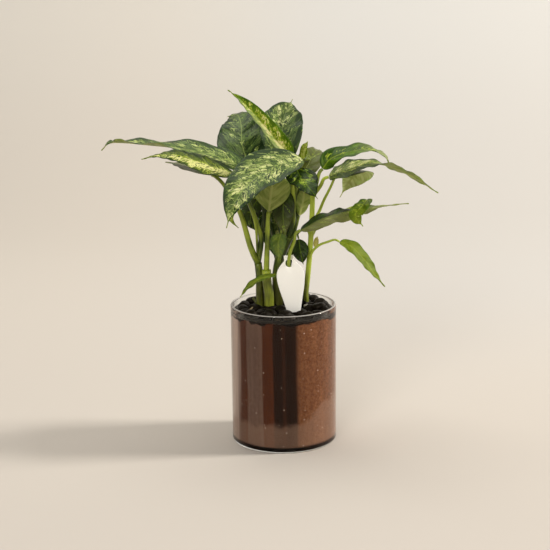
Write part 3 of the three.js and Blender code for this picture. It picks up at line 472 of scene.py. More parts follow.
def blade_surface(leaf, t, s):
    """Points in the middle of the blade at shares t along it and s across it, from -1 over 0 to 1."""
    spine = leaf["spine"]
    along = unit(route(spine, np.minimum(t + SPINE_STEP, 1)) - route(spine, np.maximum(t - SPINE_STEP, 0)))
    up = along_list([unit(np.array(face, float)) for face in leaf["face"]], t)
    up = unit(up - along * (up * along).sum(1, keepdims=True))
    side = np.cross(along, up)
    reach = np.abs(s) * half_width(leaf, t)
    folds = along_list(leaf["fold"], t)
    fold = np.radians(np.where(s < 0, folds[:, 0], folds[:, 1]))
    height, count, start = leaf["wave"]
    beat = np.sin(2 * np.pi * (count * t + start + np.where(s < 0, LEFT_WAVE_SHIFT, 0)))
    ripple = height * beat * np.sin(np.pi * t) * s * s
    sideways = (np.sign(s) * reach * np.cos(fold))[:, None]
    return route(spine, t) + side * sideways + up * (reach * np.sin(fold) + ripple)[:, None]


def blade_normal(leaf, t, s):
    across = blade_surface(leaf, t, s + SURFACE_STEP) - blade_surface(leaf, t, s - SURFACE_STEP)
    ahead = blade_surface(leaf, np.minimum(t + SURFACE_STEP, 1), s)
    behind = blade_surface(leaf, np.maximum(t - SURFACE_STEP, 0), s)
    return unit(np.cross(across, ahead - behind))


def puckers(vein, s, number):
    """How far a blade bulges between its side veins, and its edges ripple, in millimetres."""
    def swing(height, length, turn, left_lead):
        return height * np.sin(vein / length + turn * number + np.where(s < 0, left_lead, 0))

    belly = 4 * np.abs(s) * (1 - np.abs(s))
    return (swing(*BROAD_PUCKER) + swing(*NARROW_PUCKER)) * belly + swing(*EDGE_RIPPLE) * s**4


def blade(name, leaf, number, upper, under):
    """A waved blade with both faces, a rounded edge, a groove above and a keel below the midrib."""
    piece = flat_sheet(name + "_blade", BLADE_COLUMNS, BLADE_ROWS)
    flat = points_of(piece)
    s = np.sign(flat[:, 0]) * np.abs(flat[:, 0]) ** COLUMN_CROWDING
    t = np.clip((flat[:, 1] + 1) / 2, 0, 1)
    piece.data.materials.append(upper)
    piece.data.materials.append(under)
    apply_modifier(piece, "SOLIDIFY", thickness=0.01, offset=0, use_rim=True, material_offset=1)

    out = np.abs(s) * half_width(leaf, t)
    length = measured(leaf["spine"], SPINE_SAMPLES)[1][-1]
    lean, curl = VEIN_SWEEP
    vein = t * length - lean * out - curl * out**2
    normal = blade_normal(leaf, t, s)
    middle = blade_surface(leaf, t, s) + normal * puckers(vein, s, number)[:, None]
    half_thick = BLADE_THICKNESS / 2 * (1 - RIM_THINNING * np.abs(s) ** 3)
    groove = GROOVE_DEPTH * (1 - t) * np.exp(-(out / GROOVE_WIDTH) ** 2)
    keel = MIDRIB_KEEL * (1 - t) * np.exp(-(out / KEEL_WIDTH) ** 2)
    upper_face = middle + normal * (half_thick - groove)[:, None]
    set_points(piece, np.vstack([upper_face, middle - normal * (half_thick + keel)[:, None]]))

    # The look changes from the left half to the right one at the midrib, and to the tip's further out.
    # Its three numbers: how cream, how dark (partly painted shade) and how strong the painted sheen is.
    finish, *looks = leaf["paint"]
    left, right, tip = np.array((looks[0], looks[-2], looks[-1]), float)
    look = mix(left, right, np.clip(s * 3 + 0.5, 0, 1)[:, None])
    look = mix(look, tip, np.clip(t * 2.2 - 1, 0, 1)[:, None])
    stored = {  # lengths in centimetres
        "blade": np.stack([s, t, out / 10], 1),
        "vein": np.stack([vein, np.sign(s) * out, t * length], 1) / 10,
        "look": look,
        "seed": np.full_like(look, number * SEED_STEP),
    }
    for label, values in stored.items():
        paint(piece, label, np.vstack([values, values]))
    apply_modifier(piece, "SUBSURF", levels=1, render_levels=1)
    piece.data.shade_smooth()
    finish_piece(piece, SLOTS.get(finish, finish), name)


# ---- Canes and stalks ----
def tube(name, points, radii, around, groove=None):
    """A round stalk along a route: a sheet rolled up, with its seam merged and its ends closed."""
    length = measured(points, CURVE_SAMPLES)[1][-1]
    rows = max(6, int(length / STALK_STEP))
    middles = evenly_spaced(points, rows + 1)
    along = unit(np.gradient(middles, axis=0))
    out = np.zeros_like(middles)
    last = np.array(groove or FRONT_SIDE, float)
    for i in range(rows, -1, -1):
        last = unit(last - along[i] * (last @ along[i]))
        out[i] = last
    side = np.cross(along, out)
    piece = flat_sheet(name, around, rows + 2)
    flat = points_of(piece)
    angle = flat[:, 0] * np.pi
    row = np.rint((flat[:, 1] + 1) / 2 * (rows + 2)).astype(int)
    index = np.clip(row - 1, 0, rows)
    run = index / rows * length
    radius = radii(run, length)
    if groove:
        depth, width = STALK_GROOVE
        radius = radius * (1 - depth * np.exp(-(angle / width) ** 2))
    radius = np.where((row == 0) | (row == rows + 2), 0, radius)
    ring = out[index] * np.cos(angle)[:, None] + side[index] * np.sin(angle)[:, None]
    set_points(piece, middles[index] + ring * radius[:, None])
    paint(piece, "stalk", np.stack([np.cos(angle), np.sin(angle), run / 10], 1))
    on_whole_mesh(bpy.ops.mesh.remove_doubles, threshold=1e-6)
    on_whole_mesh(bpy.ops.mesh.normals_make_consistent, inside=False)
    piece.data.shade_smooth()
    return piece


def cane_route(cane):
    (x, y), _, above = CANES[cane]
    bottom = SOIL_TOP - HOLE_DEPTH + CLEARANCE
    return [(x, y, bottom)] + [(x, y, z) for z in CANE_STRAIGHT] + above


def stalk_route(leaf):
    """From the cane, past the stalk's own points, to just short of the blade and in line with it."""
    cane, above, _ = leaf["stalk"]
    base = np.array(leaf["spine"][0], float)
    along = unit(route(leaf["spine"], [SPINE_STEP])[0] - base)
    spots = evenly_spaced(cane_route(cane), CANE_SAMPLES + 1)
    aim = np.array(above[0], float) - (0, 0, STALK_ROOT)
    root = spots[np.argmin(np.linalg.norm(spots - aim, axis=1))]
    return [root, *above, base - along * (ALIGNED + CLEARANCE), base - along * CLEARANCE]


def taper(start, end):
    return lambda run, length: mix(start, end, run / length)


def shoot(cane, material):
    """A cane with the stalks of its leaves, which grew as one piece."""
    _, radius, _ = CANES[cane]
    parts = [tube(cane, cane_route(cane), taper(radius, radius * CANE_TAPER), CANE_SIDES)]
    for name, leaf in LEAVES.items():
        grows_from, _, ends = leaf["stalk"]
        if grows_from == cane:
            parts.append(tube(name + "_stalk", stalk_route(leaf), taper(*ends), STALK_SIDES, leaf["face"][0]))
    if STUB["cane"] == cane:
        parts.append(tube("stub", STUB["route"], taper(*STUB["ends"]), STALK_SIDES))
    piece = joined("shoot_" + cane + "_stalks", parts)
    finish_piece(piece, "stalk", "shoot_" + cane, material)


def dry_straw(material):
    piece = tube("straw_stem", DRY_STEM["route"], taper(*DRY_STEM["ends"]), STRAW_SIDES)
    finish_piece(piece, "straw", "dry_stem", material)


# ---- The glass, the soil and the pebbles ----
def glass_cylinder(material, lip):
    """The pot: a cylinder whose top is set in, sunk to the floor of the glass, and rounded at its edges."""
    piece = upright_cylinder("glass_cylinder", GLASS_RADIUS, 0, GLASS_HEIGHT)
    pick(piece, "FACE", lambda face: face.normal.z > 0.9)
    bpy.ops.mesh.inset(thickness=GLASS_WALL * MM)
    sink = (0, 0, (GLASS_BASE - GLASS_HEIGHT) * MM)
    bpy.ops.mesh.extrude_region_move(TRANSFORM_OT_translate={"value": sink})
    bpy.ops.object.mode_set(mode="OBJECT")
    inner = GLASS_RADIUS - GLASS_WALL
    round_rim(piece, 0, GLASS_RADIUS, GLASS_FOOT_ROUND, 6)
    round_rim(piece, GLASS_BASE, inner, GLASS_FOOT_ROUND, 6)
    for radius in (GLASS_RADIUS, inner):
        round_rim(piece, GLASS_HEIGHT, radius, LIP_ROUND, 5)
    bpy.ops.object.shade_smooth_by_angle(angle=math.radians(50))
    piece.data.materials.append(material)
    piece.data.materials.append(lip)
    for face in piece.data.polygons:
        face.material_index = int(face.center.z / MM > GLASS_HEIGHT - LIP_BAND)
    finish_piece(piece, "glass", "glass_pot")


def soil_fill(material):
    radius = GLASS_RADIUS - GLASS_WALL + SOIL_CLING
    bottom = GLASS_BASE - SOIL_CLING
    piece = upright_cylinder("soil_fill", radius, bottom, SOIL_TOP)
    round_rim(piece, bottom, radius, GLASS_FOOT_ROUND, 5)
    bpy.ops.object.shade_smooth_by_angle(angle=math.radians(50))
    finish_piece(piece, "soil", "soil", material)


def draw(number):
    """A draw between 0 and 1 that is always the same for the same number."""
    x = math.sin(number * 12.9898) * 43758.5453
    return x - math.floor(x)


def pebble(number, place, size, turn):
    """One worn pebble: a ball pressed to its size, with shallow uneven flats, kept inside the glass."""
    radius = 0.5
    bpy.ops.mesh.primitive_ico_sphere_add(subdivisions=4, radius=radius)
    piece = bpy.context.object
    points = points_of(piece)
    directions = unit(points)
    for k in range(PEBBLE_FLATS):
        flat = unit(np.array([draw(number * 31 + k * 3 + i) - 0.5 for i in range(3)]))
        limit = FLAT_START[0] + FLAT_START[1] * draw(number * 17 + k)
        points = points - np.outer(radius * np.maximum(directions @ flat - limit, 0), flat)
    spin, lean, roll = (Matrix.Rotation(angle, 3, axis) for angle, axis in zip(reversed(turn), "ZYX"))
    points = points * np.array(size) @ np.array(spin @ lean @ roll).T
    place = np.array(place, float)
    outer = np.linalg.norm(points[:, :2] + place[:2], axis=1).max()
    place[:2] -= unit(place[:2]) * max(outer - FILLING_RADIUS, 0)
    set_points(piece, points + place)
    piece.data.shade_smooth()
    return piece


def pebble_layer(material):
    low = SOIL_TOP + CLEARANCE
    parts = [upright_cylinder("pebble_bed", FILLING_RADIUS, low, low + PEBBLE_BED)]
    for count, radius, level, start, end in PEBBLE_RINGS:
        for i in range(count):
            number = len(parts)
            angle = math.radians(mix(start, end, i / count) + PEBBLE_TURN * (draw(number) - 0.5))
            out = radius + PEBBLE_SHIFT * (draw(number + 100) - 0.5)
            lift = PEBBLE_SHIFT * (draw(number + 200) - 0.5)
            place = (out * math.cos(angle), out * math.sin(angle), level + lift)
            size = [mix(*span, draw(number * 7 + k)) for k, span in enumerate(PEBBLE_SIZE)]
            tilts = [(draw(number * 7 + k) - 0.5) * PEBBLE_TILT for k in (3, 4)]
            parts.append(pebble(number, place, size, [*tilts, draw(number * 7 + 5) * math.pi]))
    finish_piece(joined("pebble_layer", parts), "pebble", "pebbles", material)


def pale_stone(material):
    pebble(PALE_STONE["number"], PALE_STONE["middle"], PALE_STONE["size"], (0, 0, 0))
    finish_piece(named("pale_pebble"), "pale_stone", "pale_stone", material)


# ---- The tag ----
def bezier(a, b, c, d, count):
    """That many points of the curve from a to d, without a itself."""
    t = np.linspace(0, 1, count + 1)[1:, None]
    a, b, c, d = (np.array(p, float) for p in (a, b, c, d))
    return (1 - t) ** 3 * a + 3 * (1 - t) ** 2 * t * b + 3 * (1 - t) * t**2 * c + t**3 * d


def tag_outline():
    half, end, neck = TAG["width"] / 2, TAG["end"] / 2, TAG["neck"] / 2
    length, neck_foot = TAG["length"], TAG["length"] - TAG["neck_length"]
    shoulder, widest = half * 0.72, (half, length * 0.62)
    right = np.vstack([
        [(end, 0)],
        bezier((end, 0), (shoulder, length * 0.3), (half, length * 0.45), widest, 12),
        bezier(widest, (half, length * 0.76), (shoulder, length * 0.82), (neck, neck_foot), 12),
        [(neck, length)],
    ])
    return np.vstack([right, right[::-1] * (-1, 1)])


def distance_to(outline, ray):
    """How far the closed outline lies from the origin in the direction of the ray."""
    best = 0
    for a, b in zip(outline, np.roll(outline, -1, axis=0)):
        span = b - a
        cross = ray[0] * span[1] - ray[1] * span[0]
        if abs(cross) < 1e-9:
            continue
        far = (a[0] * span[1] - a[1] * span[0]) / cross
        where = (a[0] * ray[1] - a[1] * ray[0]) / cross
        if far > 0 and -1e-6 <= where <= 1 + 1e-6:
            best = max(best, far)
    return best


def card_tag(material):
    """A blank card cut to its outline: a disc whose rim and hole are drawn out to the tag's shape."""
    around, rings = TAG["cells"]
    hole = np.array((0, TAG["length"] - TAG["hole_below_top"]))
    angles = 2 * np.pi * np.arange(around) / around
    rays = np.stack([np.cos(angles), np.sin(angles)], 1)
    outline = tag_outline() - hole
    rim = np.array([distance_to(outline, ray) for ray in rays])
    piece = flat_sheet("card_tag", around, rings)
    flat = points_of(piece)
    index = np.rint((flat[:, 0] + 1) / 2 * around).astype(int) % around
    reach = mix(TAG["hole"], rim[index], (flat[:, 1] + 1) / 2)
    card = hole + rays[index] * reach[:, None]
    foot, top = np.array(TAG["foot"], float), np.array(TAG["top"], float)
    up = unit(top - foot)
    side = unit(np.array((1, 0, 0)) - up * up[0])
    set_points(piece, foot + card[:, :1] * side + card[:, 1:] * up)
    on_whole_mesh(bpy.ops.mesh.remove_doubles, threshold=1e-6)
    apply_modifier(piece, "SOLIDIFY", thickness=TAG["thickness"] * MM, offset=0)
    sharp = dict(limit_method="ANGLE", angle_limit=math.radians(40))
    apply_modifier(piece, "BEVEL", width=TAG["edge"] * MM, segments=2, **sharp)
    on_whole_mesh(bpy.ops.mesh.normals_make_consistent, inside=False)
    bpy.ops.object.shade_smooth_by_angle(angle=math.radians(35))
    finish_piece(piece, "tag_card", "tag", material)


# ---- Finishes ----
class Finish:
    """A material whose nodes are laid one after another."""

    def __init__(self, name, **shader):
        self.material = bpy.data.materials.new(name)
        self.material.use_nodes = True
        self.tree = self.material.node_tree
        self.shader = self.tree.nodes["Principled BSDF"]
        self.give(**shader)

    def set(self, node, values):
        """Joins each named socket to a value that another node gives, or sets it to a fixed one."""
        for key, value in values.items():
            socket = node.inputs[key.replace("_", " ") if isinstance(key, str) else key]
            if isinstance(value, bpy.types.NodeSocket):
                self.tree.links.new(value, socket)
            elif socket.type == "RGBA" and len(value) == 3:
                socket.default_value = (*value, 1)
            else:
                socket.default_value = value

    def node(self, kind, values, output=0, **settings):
        """An output of a new node that has those values at its sockets."""
        node = self.tree.nodes.new("ShaderNode" + kind)
        for key, value in settings.items():
            setattr(node, key, value)
        self.set(node, values)
        return node.outputs[output]

    def object_space(self):
        return self.node("TexCoord", {}, "Object")

    def attribute(self, name):
        return self.node("Attribute", {}, "Vector", attribute_name=name)

    def parts(self, vector):
        return self.node("SeparateXYZ", {"Vector": vector}).node.outputs

    def stretch(self, vector, scale):
        return self.node("Mapping", {"Vector": vector, "Scale": scale})

    def noise(self, vector, scale, detail=3, roughness=0.55, distortion=0):
        values = {"Vector": vector, "Scale": scale, "Detail": detail, "Roughness": roughness}
        return self.node("TexNoise", {**values, "Distortion": distortion}, "Fac")

    def math(self, operation, a, b=0, c=0):
        return self.node("Math", {0: a, 1: b, 2: c}, operation=operation)

    def add(self, a, b):
        return self.math("ADD", a, b)

    def times(self, a, b, plus=0):
        return self.math("MULTIPLY_ADD", a, b, plus)

    def ramp(self, value, low, high, to_low=0, to_high=1):
        """Rises or falls softly from to_low to to_high as the value goes from low to high."""
        values = {"Value": value, "From_Min": low, "From_Max": high, "To_Min": to_low, "To_Max": to_high}
        return self.node("MapRange", values, interpolation_type="SMOOTHSTEP")

    def mix(self, share, a, b, blend="MIX"):
        return self.node("Mix", {0: share, 6: a, 7: b}, 2, data_type="RGBA", blend_type=blend)

    def bump(self, height, distance, strength, below=None):
        values = {"Height": height, "Distance": distance, "Strength": strength}
        return self.node("Bump", {**values, "Normal": below} if below else values)

    def give(self, **values):
        self.set(self.shader, values)
        return self.material


def srgb(r, g, b):
    """A colour given as it looks on a screen, 0 to 255, as the linear light that the shader wants."""
    return tuple((c / 255 / 12.92) if c <= 10.3 else ((c / 255 + 0.055) / 1.055) ** 2.4 for c in (r, g, b))


# The leaves' upper sides: dark, middle, lime and cream tones, the painted sheen's tone, greenness of margins,
# roughness.
LEAF_FINISHES = {
    "leaf_mottled": ((18, 38, 12), (80, 100, 42), (136, 152, 76), (202, 204, 136), (104, 118, 92), 0.13, 0.4),
    # leaf_bright is a brighter copy of leaf_mottled, in the same slot: partly the young leaf's own lighter
    # green, partly painted light glowing through the young and the arched leaf.
    "leaf_bright": ((34, 62, 2), (86, 118, 10), (150, 166, 42), (222, 212, 146), (144, 150, 98), 0.18, 0.4),
    "leaf_dark": ((10, 24, 2), (38, 60, 10), (100, 124, 26), (156, 170, 64), (142, 142, 84), 0.13, 0.4),
    "leaf_plain": ((60, 84, 6), (110, 124, 18), (138, 150, 40), (176, 184, 90), (104, 118, 92), 0.13, 0.55),
    "leaf_olive": ((28, 46, 8), (84, 98, 30), (130, 142, 48), (196, 194, 122), (104, 118, 92), 0.22, 0.4),
}
VEIN_GAP = 0.3  # half the way between two side veins, in centimetres
LEAF_GLOW = dict(Subsurface_Scale=0.002, Subsurface_Radius=(0.5, 1, 0.25))


def leaf_upper(name, dark, mid, lime, cream, sheen_tone, rim, roughness):
    """A leaf's upper side: green margins, a middle mottled in uneven streaks along the side veins, darkened
    in part as painted shade, and greyed by a painted sheen.
    """
    dark, mid, lime, cream, sheen_tone = (srgb(*tone) for tone in (dark, mid, lime, cream, sheen_tone))
    f = Finish(name, Roughness=roughness, IOR=1.4, Specular_IOR_Level=0.3, Specular_Tint=(0.9, 0.95, 0.7))
    across, _, out = f.parts(f.attribute("blade"))
    amount, dark_and_painted_shade, painted_sheen = f.parts(f.attribute("look"))
    vein_space = f.attribute("vein")
    seeded = f.node("VectorMath", {0: vein_space, 1: f.attribute("seed")}, operation="ADD")
    drift = f.node("TexNoise", {"Vector": seeded, "Scale": 1.4, "Detail": 2}, "Color")
    shift = {0: drift, 1: (0.9, 0.9, 0), 2: seeded}
    moved = f.node("VectorMath", shift, operation="MULTIPLY_ADD")
    patches = f.noise(f.stretch(moved, (1.7, 1.1, 0)), 1, 5, 0.66, 0.9)
    flecks = f.noise(f.stretch(moved, (5.6, 3, 0)), 1, 4, 0.7, 0.7)
    clouds = f.noise(f.stretch(seeded, (0.75, 0.6, 0)), 1)
    edge = f.add(f.math("ABSOLUTE", across), f.times(clouds, 1.1, -0.55))
    edge = f.add(edge, f.times(patches, -0.8, 0.4))
    margin = f.ramp(edge, 0.55, 0.9)
    level = f.add(f.times(patches, 0.65), f.times(flecks, 0.35))
    level = f.add(level, f.times(amount, 0.34, -0.17))
    level = f.add(level, f.times(clouds, 0.5, -0.25))
    level = f.math("SUBTRACT", level, f.times(margin, rim))
    green = f.mix(f.ramp(clouds, 0.4, 0.62), mid, dark)
    # The look's second number darkens the greens, the margins and the flecks: partly the leaf's own darker
    # green, partly painted shade.
    green = f.mix(dark_and_painted_shade, mid, green)
    green = f.mix(f.times(margin, dark_and_painted_shade), green, dark)
    colour = f.mix(f.ramp(level, 0.475, 0.495), green, lime)
    colour = f.mix(f.ramp(level, 0.54, 0.575), colour, cream)
    colour = f.mix(f.times(f.ramp(flecks, 0.47, 0.445), dark_and_painted_shade), colour, dark)
    vein = f.math("PINGPONG", f.parts(vein_space)[0], VEIN_GAP)
    colour = f.mix(f.ramp(vein, 0, 0.05, 0.08, 0), colour, lime)
    colour = f.mix(f.ramp(out, 0.03, 0.09, 0.5, 0), colour, lime)
    # Painted sheen: a greyed tone mixed in as the look's third number says.
    colour = f.mix(f.times(painted_sheen, 0.6), colour, sheen_tone)
    bump = f.bump(f.ramp(vein, 0, VEIN_GAP), 0.0004, 0.25)
    bump = f.bump(f.noise(f.stretch(seeded, (4, 2.2, 0)), 1), 0.0008, 0.5, bump)
    return f.give(Base_Color=colour, Normal=bump, Subsurface_Weight=0.12, **LEAF_GLOW)


def leaf_under(name, dark, light):
    """A leaf's underside: a plain, duller green with a standing pale midrib and side veins."""
    f = Finish(name, Roughness=0.5, IOR=1.4, Specular_IOR_Level=0.35)
    out = f.parts(f.attribute("blade"))[2]
    vein_space = f.attribute("vein")
    tone = f.noise(f.stretch(vein_space, (1.6, 0.7, 0)), 1, 4, 0.6, 0.4)
    colour = f.mix(f.ramp(tone, 0.3, 0.7), srgb(*dark), srgb(*light))
    vein = f.math("PINGPONG", f.parts(vein_space)[0], VEIN_GAP)
    colour = f.mix(f.ramp(vein, 0, 0.05, 0.3, 0), colour, srgb(160, 164, 98))
    colour = f.mix(f.ramp(out, 0.06, 0.16, 0.75, 0), colour, srgb(168, 174, 100))
    bump = f.bump(f.ramp(vein, 0, VEIN_GAP), 0.0004, -0.6)
    return f.give(Base_Color=colour, Normal=bump, Subsurface_Weight=0.2, **LEAF_GLOW)


def stalk_finish():
    """Streaked green, with painted shade at the back and painted light at the right, and brownish near the
    pebbles.
    """
    f = Finish("green_stalk", Roughness=0.36, IOR=1.42)
    stretched = f.stretch(f.attribute("stalk"), (5, 5, 0.6))
    place = f.object_space()
    x, y, z = f.parts(place)
    tone = f.add(f.noise(stretched, 1, 4), f.times(f.noise(place, 30, 2), 1.6, -0.8))
    # Painted shade: darker towards the back.
    tone = f.math("SUBTRACT", tone, f.ramp(y, -0.002, 0.006, 0, 0.42))
    # Painted light: lighter at the right, less so higher up.
    above = f.math("MAXIMUM", f.math("SUBTRACT", z, 0.28), 0)
    painted_light_side = f.times(above, -0.6, x)
    tone = f.add(tone, f.ramp(painted_light_side, 0.02, 0.028, 0, 0.4))
    colour = f.mix(f.ramp(tone, 0.1, 0.9), srgb(44, 60, 8), srgb(164, 180, 56))
    colour = f.mix(f.ramp(z, 0.21, 0.16, 0, 0.35), colour, srgb(108, 96, 40))
    return f.give(Base_Color=colour, Normal=f.bump(f.noise(stretched, 3, 2), 0.0002, 0.5))


def clear_glass():
    """Clear glass that lets the lamps' light through to the soil."""
    f = Finish("clear_glass", Base_Color=(0.97, 0.985, 0.98), Roughness=0.01, IOR=1.47)
    f.give(Transmission_Weight=1, Specular_Tint=(0.3, 0.3, 0.3))
    f.give(Normal=f.bump(f.noise(f.object_space(), 9, 2), 0.0002, 0.05))
    clear = f.node("BsdfTransparent", {"Color": (0.95, 0.96, 0.955)})
    shadow = f.node("LightPath", {}, "Is Shadow Ray")
    mixed = f.node("MixShader", {0: shadow, 1: f.shader.outputs[0], 2: clear})
    f.set(f.tree.nodes["Material Output"], {"Surface": mixed})
    return f.material


def ground_lip():
    """The glass's cut and ground lip, which catches the light as a pale line."""
    f = Finish("ground_lip", Base_Color=(0.4, 0.375, 0.345), Roughness=0.4, IOR=1.47)
    return f.give(Normal=f.bump(f.noise(f.object_space(), 900, 2), 0.0001, 0.2))


def potting_soil():
    """Damp soil against the glass in upright bands, with specks of perlite: pale and greyed bands at the left
    are painted reflections, lighter soil at the right is painted light from the key lamp, and paler soil low
    down is a painted reflection of the floor.
    """
    f = Finish("potting_soil", Roughness=0.9, Specular_IOR_Level=0)
    space = f.object_space()
    x, _, z = f.parts(space)
    crumbs = f.noise(space, 320, 5, 0.78)
    streaks = f.noise(f.stretch(space, (1, 1, 0.06)), 110, 3, 0.6)
    damp = f.mix(crumbs, srgb(16, 7, 3), srgb(44, 24, 14))
    reddish = f.mix(crumbs, srgb(52, 23, 9), srgb(96, 50, 27))
    # Painted reflection and painted light: the next two tones stand for a reflection on the glass and for
    # soil lit by the key lamp.
    painted_reflection_tone = f.mix(crumbs, srgb(82, 58, 45), srgb(122, 95, 80))
    painted_key_light = f.mix(f.ramp(crumbs, 0.2, 0.8), srgb(80, 44, 24), srgb(134, 87, 56))
    shifted = f.add(x, f.times(streaks, 0.008, -0.004))
    # Painted reflection: a pale band along the far left edge.
    colour = f.mix(f.ramp(shifted, -0.046, -0.052, 0, 0.8), reddish, srgb(190, 164, 146))
    # Where each further band begins and is whole, from left to right, and its colour: a painted reflection,
    # the soil's reddish and dark damp tones, and painted light.
    bands = [(-0.041, -0.039, painted_reflection_tone), (-0.024, -0.022, reddish), (-0.013, -0.01, damp), (0.012, 0.018, painted_key_light)]
    for begins, whole, band in bands:
        colour = f.mix(f.ramp(shifted, begins, whole), colour, band)
    colour = f.mix(f.ramp(f.math("ABSOLUTE", shifted), 0.003, 0.001, 0, 0.3), colour, reddish)
    colour = f.mix(f.ramp(streaks, 0.3, 0.7, 0, 0.3), colour, damp)
    height = f.add(z, f.times(f.noise(space, 70), 0.016, -0.008))
    # Painted reflection of the floor: paler soil near the foot, reaching higher towards the right.
    foot = f.math("SUBTRACT", height, f.ramp(x, 0.015, 0.055, 0, 0.026))
    colour = f.mix(f.ramp(foot, 0.036, 0.028, 0, 0.45), colour, srgb(134, 104, 85))
    colour = f.mix(f.ramp(height, 0.1485, 0.1495, 0, 0.95), colour, srgb(10, 8, 6))
    grain = f.node("TexVoronoi", {"Vector": space, "Scale": 210}, feature="F1").node.outputs
    speck = f.ramp(grain["Distance"], 0.07, 0.15, 1, 0)
    chosen = f.ramp(f.parts(grain["Color"])[1], 0.85, 0.86)
    colour = f.mix(f.times(speck, chosen), colour, srgb(220, 196, 170))
    return f.give(Base_Color=colour, Normal=f.bump(crumbs, 0.001, 0.8))


def black_pebble():
    f = Finish("black_pebble", Roughness=0.42, IOR=1.5)
    f.give(Specular_IOR_Level=0.12, Specular_Tint=(1, 0.85, 0.65))
    space = f.object_space()
    colour = f.mix(f.noise(space, 160, 5, 0.6), srgb(3, 3, 2), srgb(26, 20, 13))
    bump = f.bump(f.noise(space, 260, 4, 0.6), 0.0012, 0.6)
    return f.give(Base_Color=colour, Normal=f.bump(f.noise(space, 900), 0.0003, 0.4, bump))


def pale_paper():
    """The backdrop's paper, with painted light: a little paler towards the back and the top, and less warm at
    the right.
    """
    f = Finish("pale_paper", Roughness=0.9, Specular_IOR_Level=0.1)
    x, y, z = f.parts(f.object_space())
    # Painted light: paler towards the back and the top, and less warm towards the right and the back.
    floor = f.mix(f.ramp(y, -0.4, 1.3), srgb(189, 181, 171), srgb(203, 195, 184))
    paper = f.mix(f.ramp(z, 0, 0.5), floor, srgb(213, 207, 197))
    painted_cool_light = f.times(f.ramp(x, -0.4, 0.2), f.ramp(y, 0, 0.8))
    return f.give(Base_Color=f.mix(painted_cool_light, paper, (0.955, 0.99, 1.04), "MULTIPLY"))


def plain_finish(name, dark, light, scale, roughness, bump):
    """A finish that varies between two tones, with a grain of that scale and depth."""
    f = Finish(name, Roughness=roughness)
    grain = f.noise(f.object_space(), scale, 4)
    return f.give(Base_Color=f.mix(grain, srgb(*dark), srgb(*light)), Normal=f.bump(grain, bump, 0.5))


# ---- Camera, lamps and floor ----
YAW, PITCH, ROLL = math.radians(-0.343), math.radians(13.386), math.radians(0.603)
CAMERA_PLACE = (0, -1.5, 0.55)  # in metres
FOCAL_PIXELS = 1363
PICTURE = 550  # its width in pixels
FILM_WIDTH = 36

FLOOR_LENGTH, FLOOR_HALF_WIDTH = 9000, 4000
FLOOR_FRONT = 3000  # how far it reaches in front of the plant
FLOOR_FLAT, FLOOR_BEND = 4200, 1200  # length of its flat part, and radius of the bend behind that
FLOOR_DROP = 0.05  # how far it lies below the pot's foot


def set_camera():
    ahead = Vector((math.sin(YAW) * math.cos(PITCH), math.cos(YAW) * math.cos(PITCH), -math.sin(PITCH)))
    right = Vector((math.cos(YAW), -math.sin(YAW), 0))
    up = right.cross(ahead)
    right, up = (
        math.cos(ROLL) * right - math.sin(ROLL) * up,
        math.sin(ROLL) * right + math.cos(ROLL) * up,
    )
    data = bpy.data.cameras.new("camera")
    data.sensor_width = FILM_WIDTH
    data.lens = FILM_WIDTH * FOCAL_PIXELS / PICTURE
    data.clip_start, data.clip_end = 0.01, 50
    camera = bpy.data.objects.new("camera", data)
    bpy.context.scene.collection.objects.link(camera)
    turned = Matrix((right, up, -ahead)).transposed().to_4x4()
    camera.matrix_world = Matrix.Translation(CAMERA_PLACE) @ turned
    bpy.context.scene.camera = camera


def lamp(name, place, aim, size, power, colour):
    data = bpy.data.lights.new(name, "AREA")
    data.size = size
    data.energy = power
    data.color = colour
    made = bpy.data.objects.new(name, data)
    bpy.context.scene.collection.objects.link(made)
    made.location = place
    made.rotation_mode = "QUATERNION"
    made.rotation_quaternion = (Vector(place) - Vector(aim)).to_track_quat("Z", "Y")


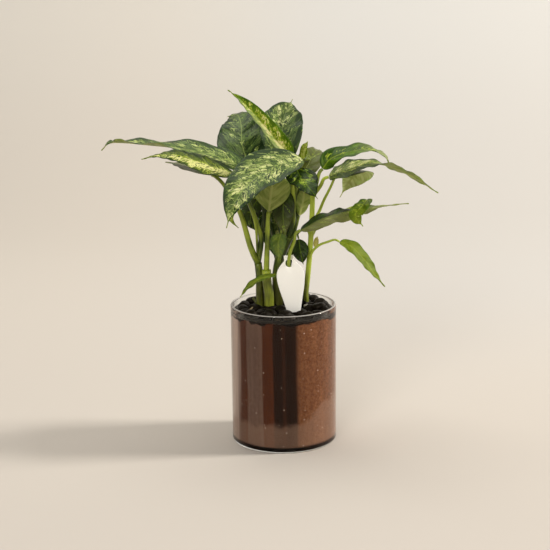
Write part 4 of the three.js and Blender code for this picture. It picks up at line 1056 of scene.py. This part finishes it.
def backdrop(material):
    """A pale floor that curves up behind the plant."""
    piece = flat_sheet("pale_backdrop", 2, 60)
    flat = points_of(piece)
    run = (flat[:, 1] + 1) / 2 * FLOOR_LENGTH
    arc = FLOOR_BEND * math.pi / 2
    angle = np.clip((run - FLOOR_FLAT) / FLOOR_BEND, 0, math.pi / 2)
    y = np.minimum(run, FLOOR_FLAT) - FLOOR_FRONT + FLOOR_BEND * np.sin(angle)
    z = FLOOR_BEND * (1 - np.cos(angle)) + np.maximum(run - FLOOR_FLAT - arc, 0)
    set_points(piece, np.stack([flat[:, 0] * FLOOR_HALF_WIDTH, y, z - FLOOR_DROP], 1))
    piece.data.shade_smooth()
    piece.data.materials.append(material)


set_camera()

uppers = {name: leaf_upper(name, *look) for name, look in LEAF_FINISHES.items()}
under = leaf_under("leaf_underside", (106, 122, 42), (156, 164, 88))
# A paler copy of the underside, as painted light on the drooping leaf's underside.
painted_lit_under = leaf_under("leaf_painted_lit_underside", (164, 170, 94), (216, 218, 158))
for number, (name, leaf) in enumerate(LEAVES.items()):
    blade(name, leaf, number, uppers[leaf["paint"][0]], painted_lit_under if name in PAINTED_LIT_BELOW else under)

stalks = stalk_finish()
for cane in CANES:
    shoot(cane, stalks)

straw = plain_finish("dry_straw", (160, 138, 96), (214, 196, 152), 300, 0.8, 0.0004)
husk = plain_finish("dry_husk", (170, 160, 70), (206, 198, 110), 300, 0.6, 0.0003)
blade("dry_sheath", DRY_SHEATH, DRY_SHEATH["number"], husk, husk)
glass_cylinder(clear_glass(), ground_lip())
soil_fill(potting_soil())
pebble_layer(black_pebble())
pale_stone(plain_finish("pale_pebble", (180, 172, 158), (226, 220, 208), 300, 0.7, 0.0004))
dry_straw(straw)
card_tag(plain_finish("cream_card", (254, 250, 240), (255, 253, 245), 900, 0.75, 0.00005))

backdrop(pale_paper())
lamp("key", (3.6, 0.15, 2.15), (0, 0, 0.2), 0.7, 190, (1, 0.97, 0.93))
lamp("sky", (-0.5, 0.4, 2.4), (0, 0, 0.2), 1.6, 33, (1, 0.99, 0.96))
lamp("front", (-0.9, -2.6, 1.6), (0, 0, 0.25), 1.2, 48, (1, 0.97, 0.94))
world = bpy.data.worlds.new("soft_light")
world.use_nodes = True
background = world.node_tree.nodes["Background"].inputs
background["Color"].default_value = (0.84, 0.81, 0.76, 1)
background["Strength"].default_value = 0.2
bpy.context.scene.world = world
bpy.context.scene.view_settings.view_transform = "Standard"
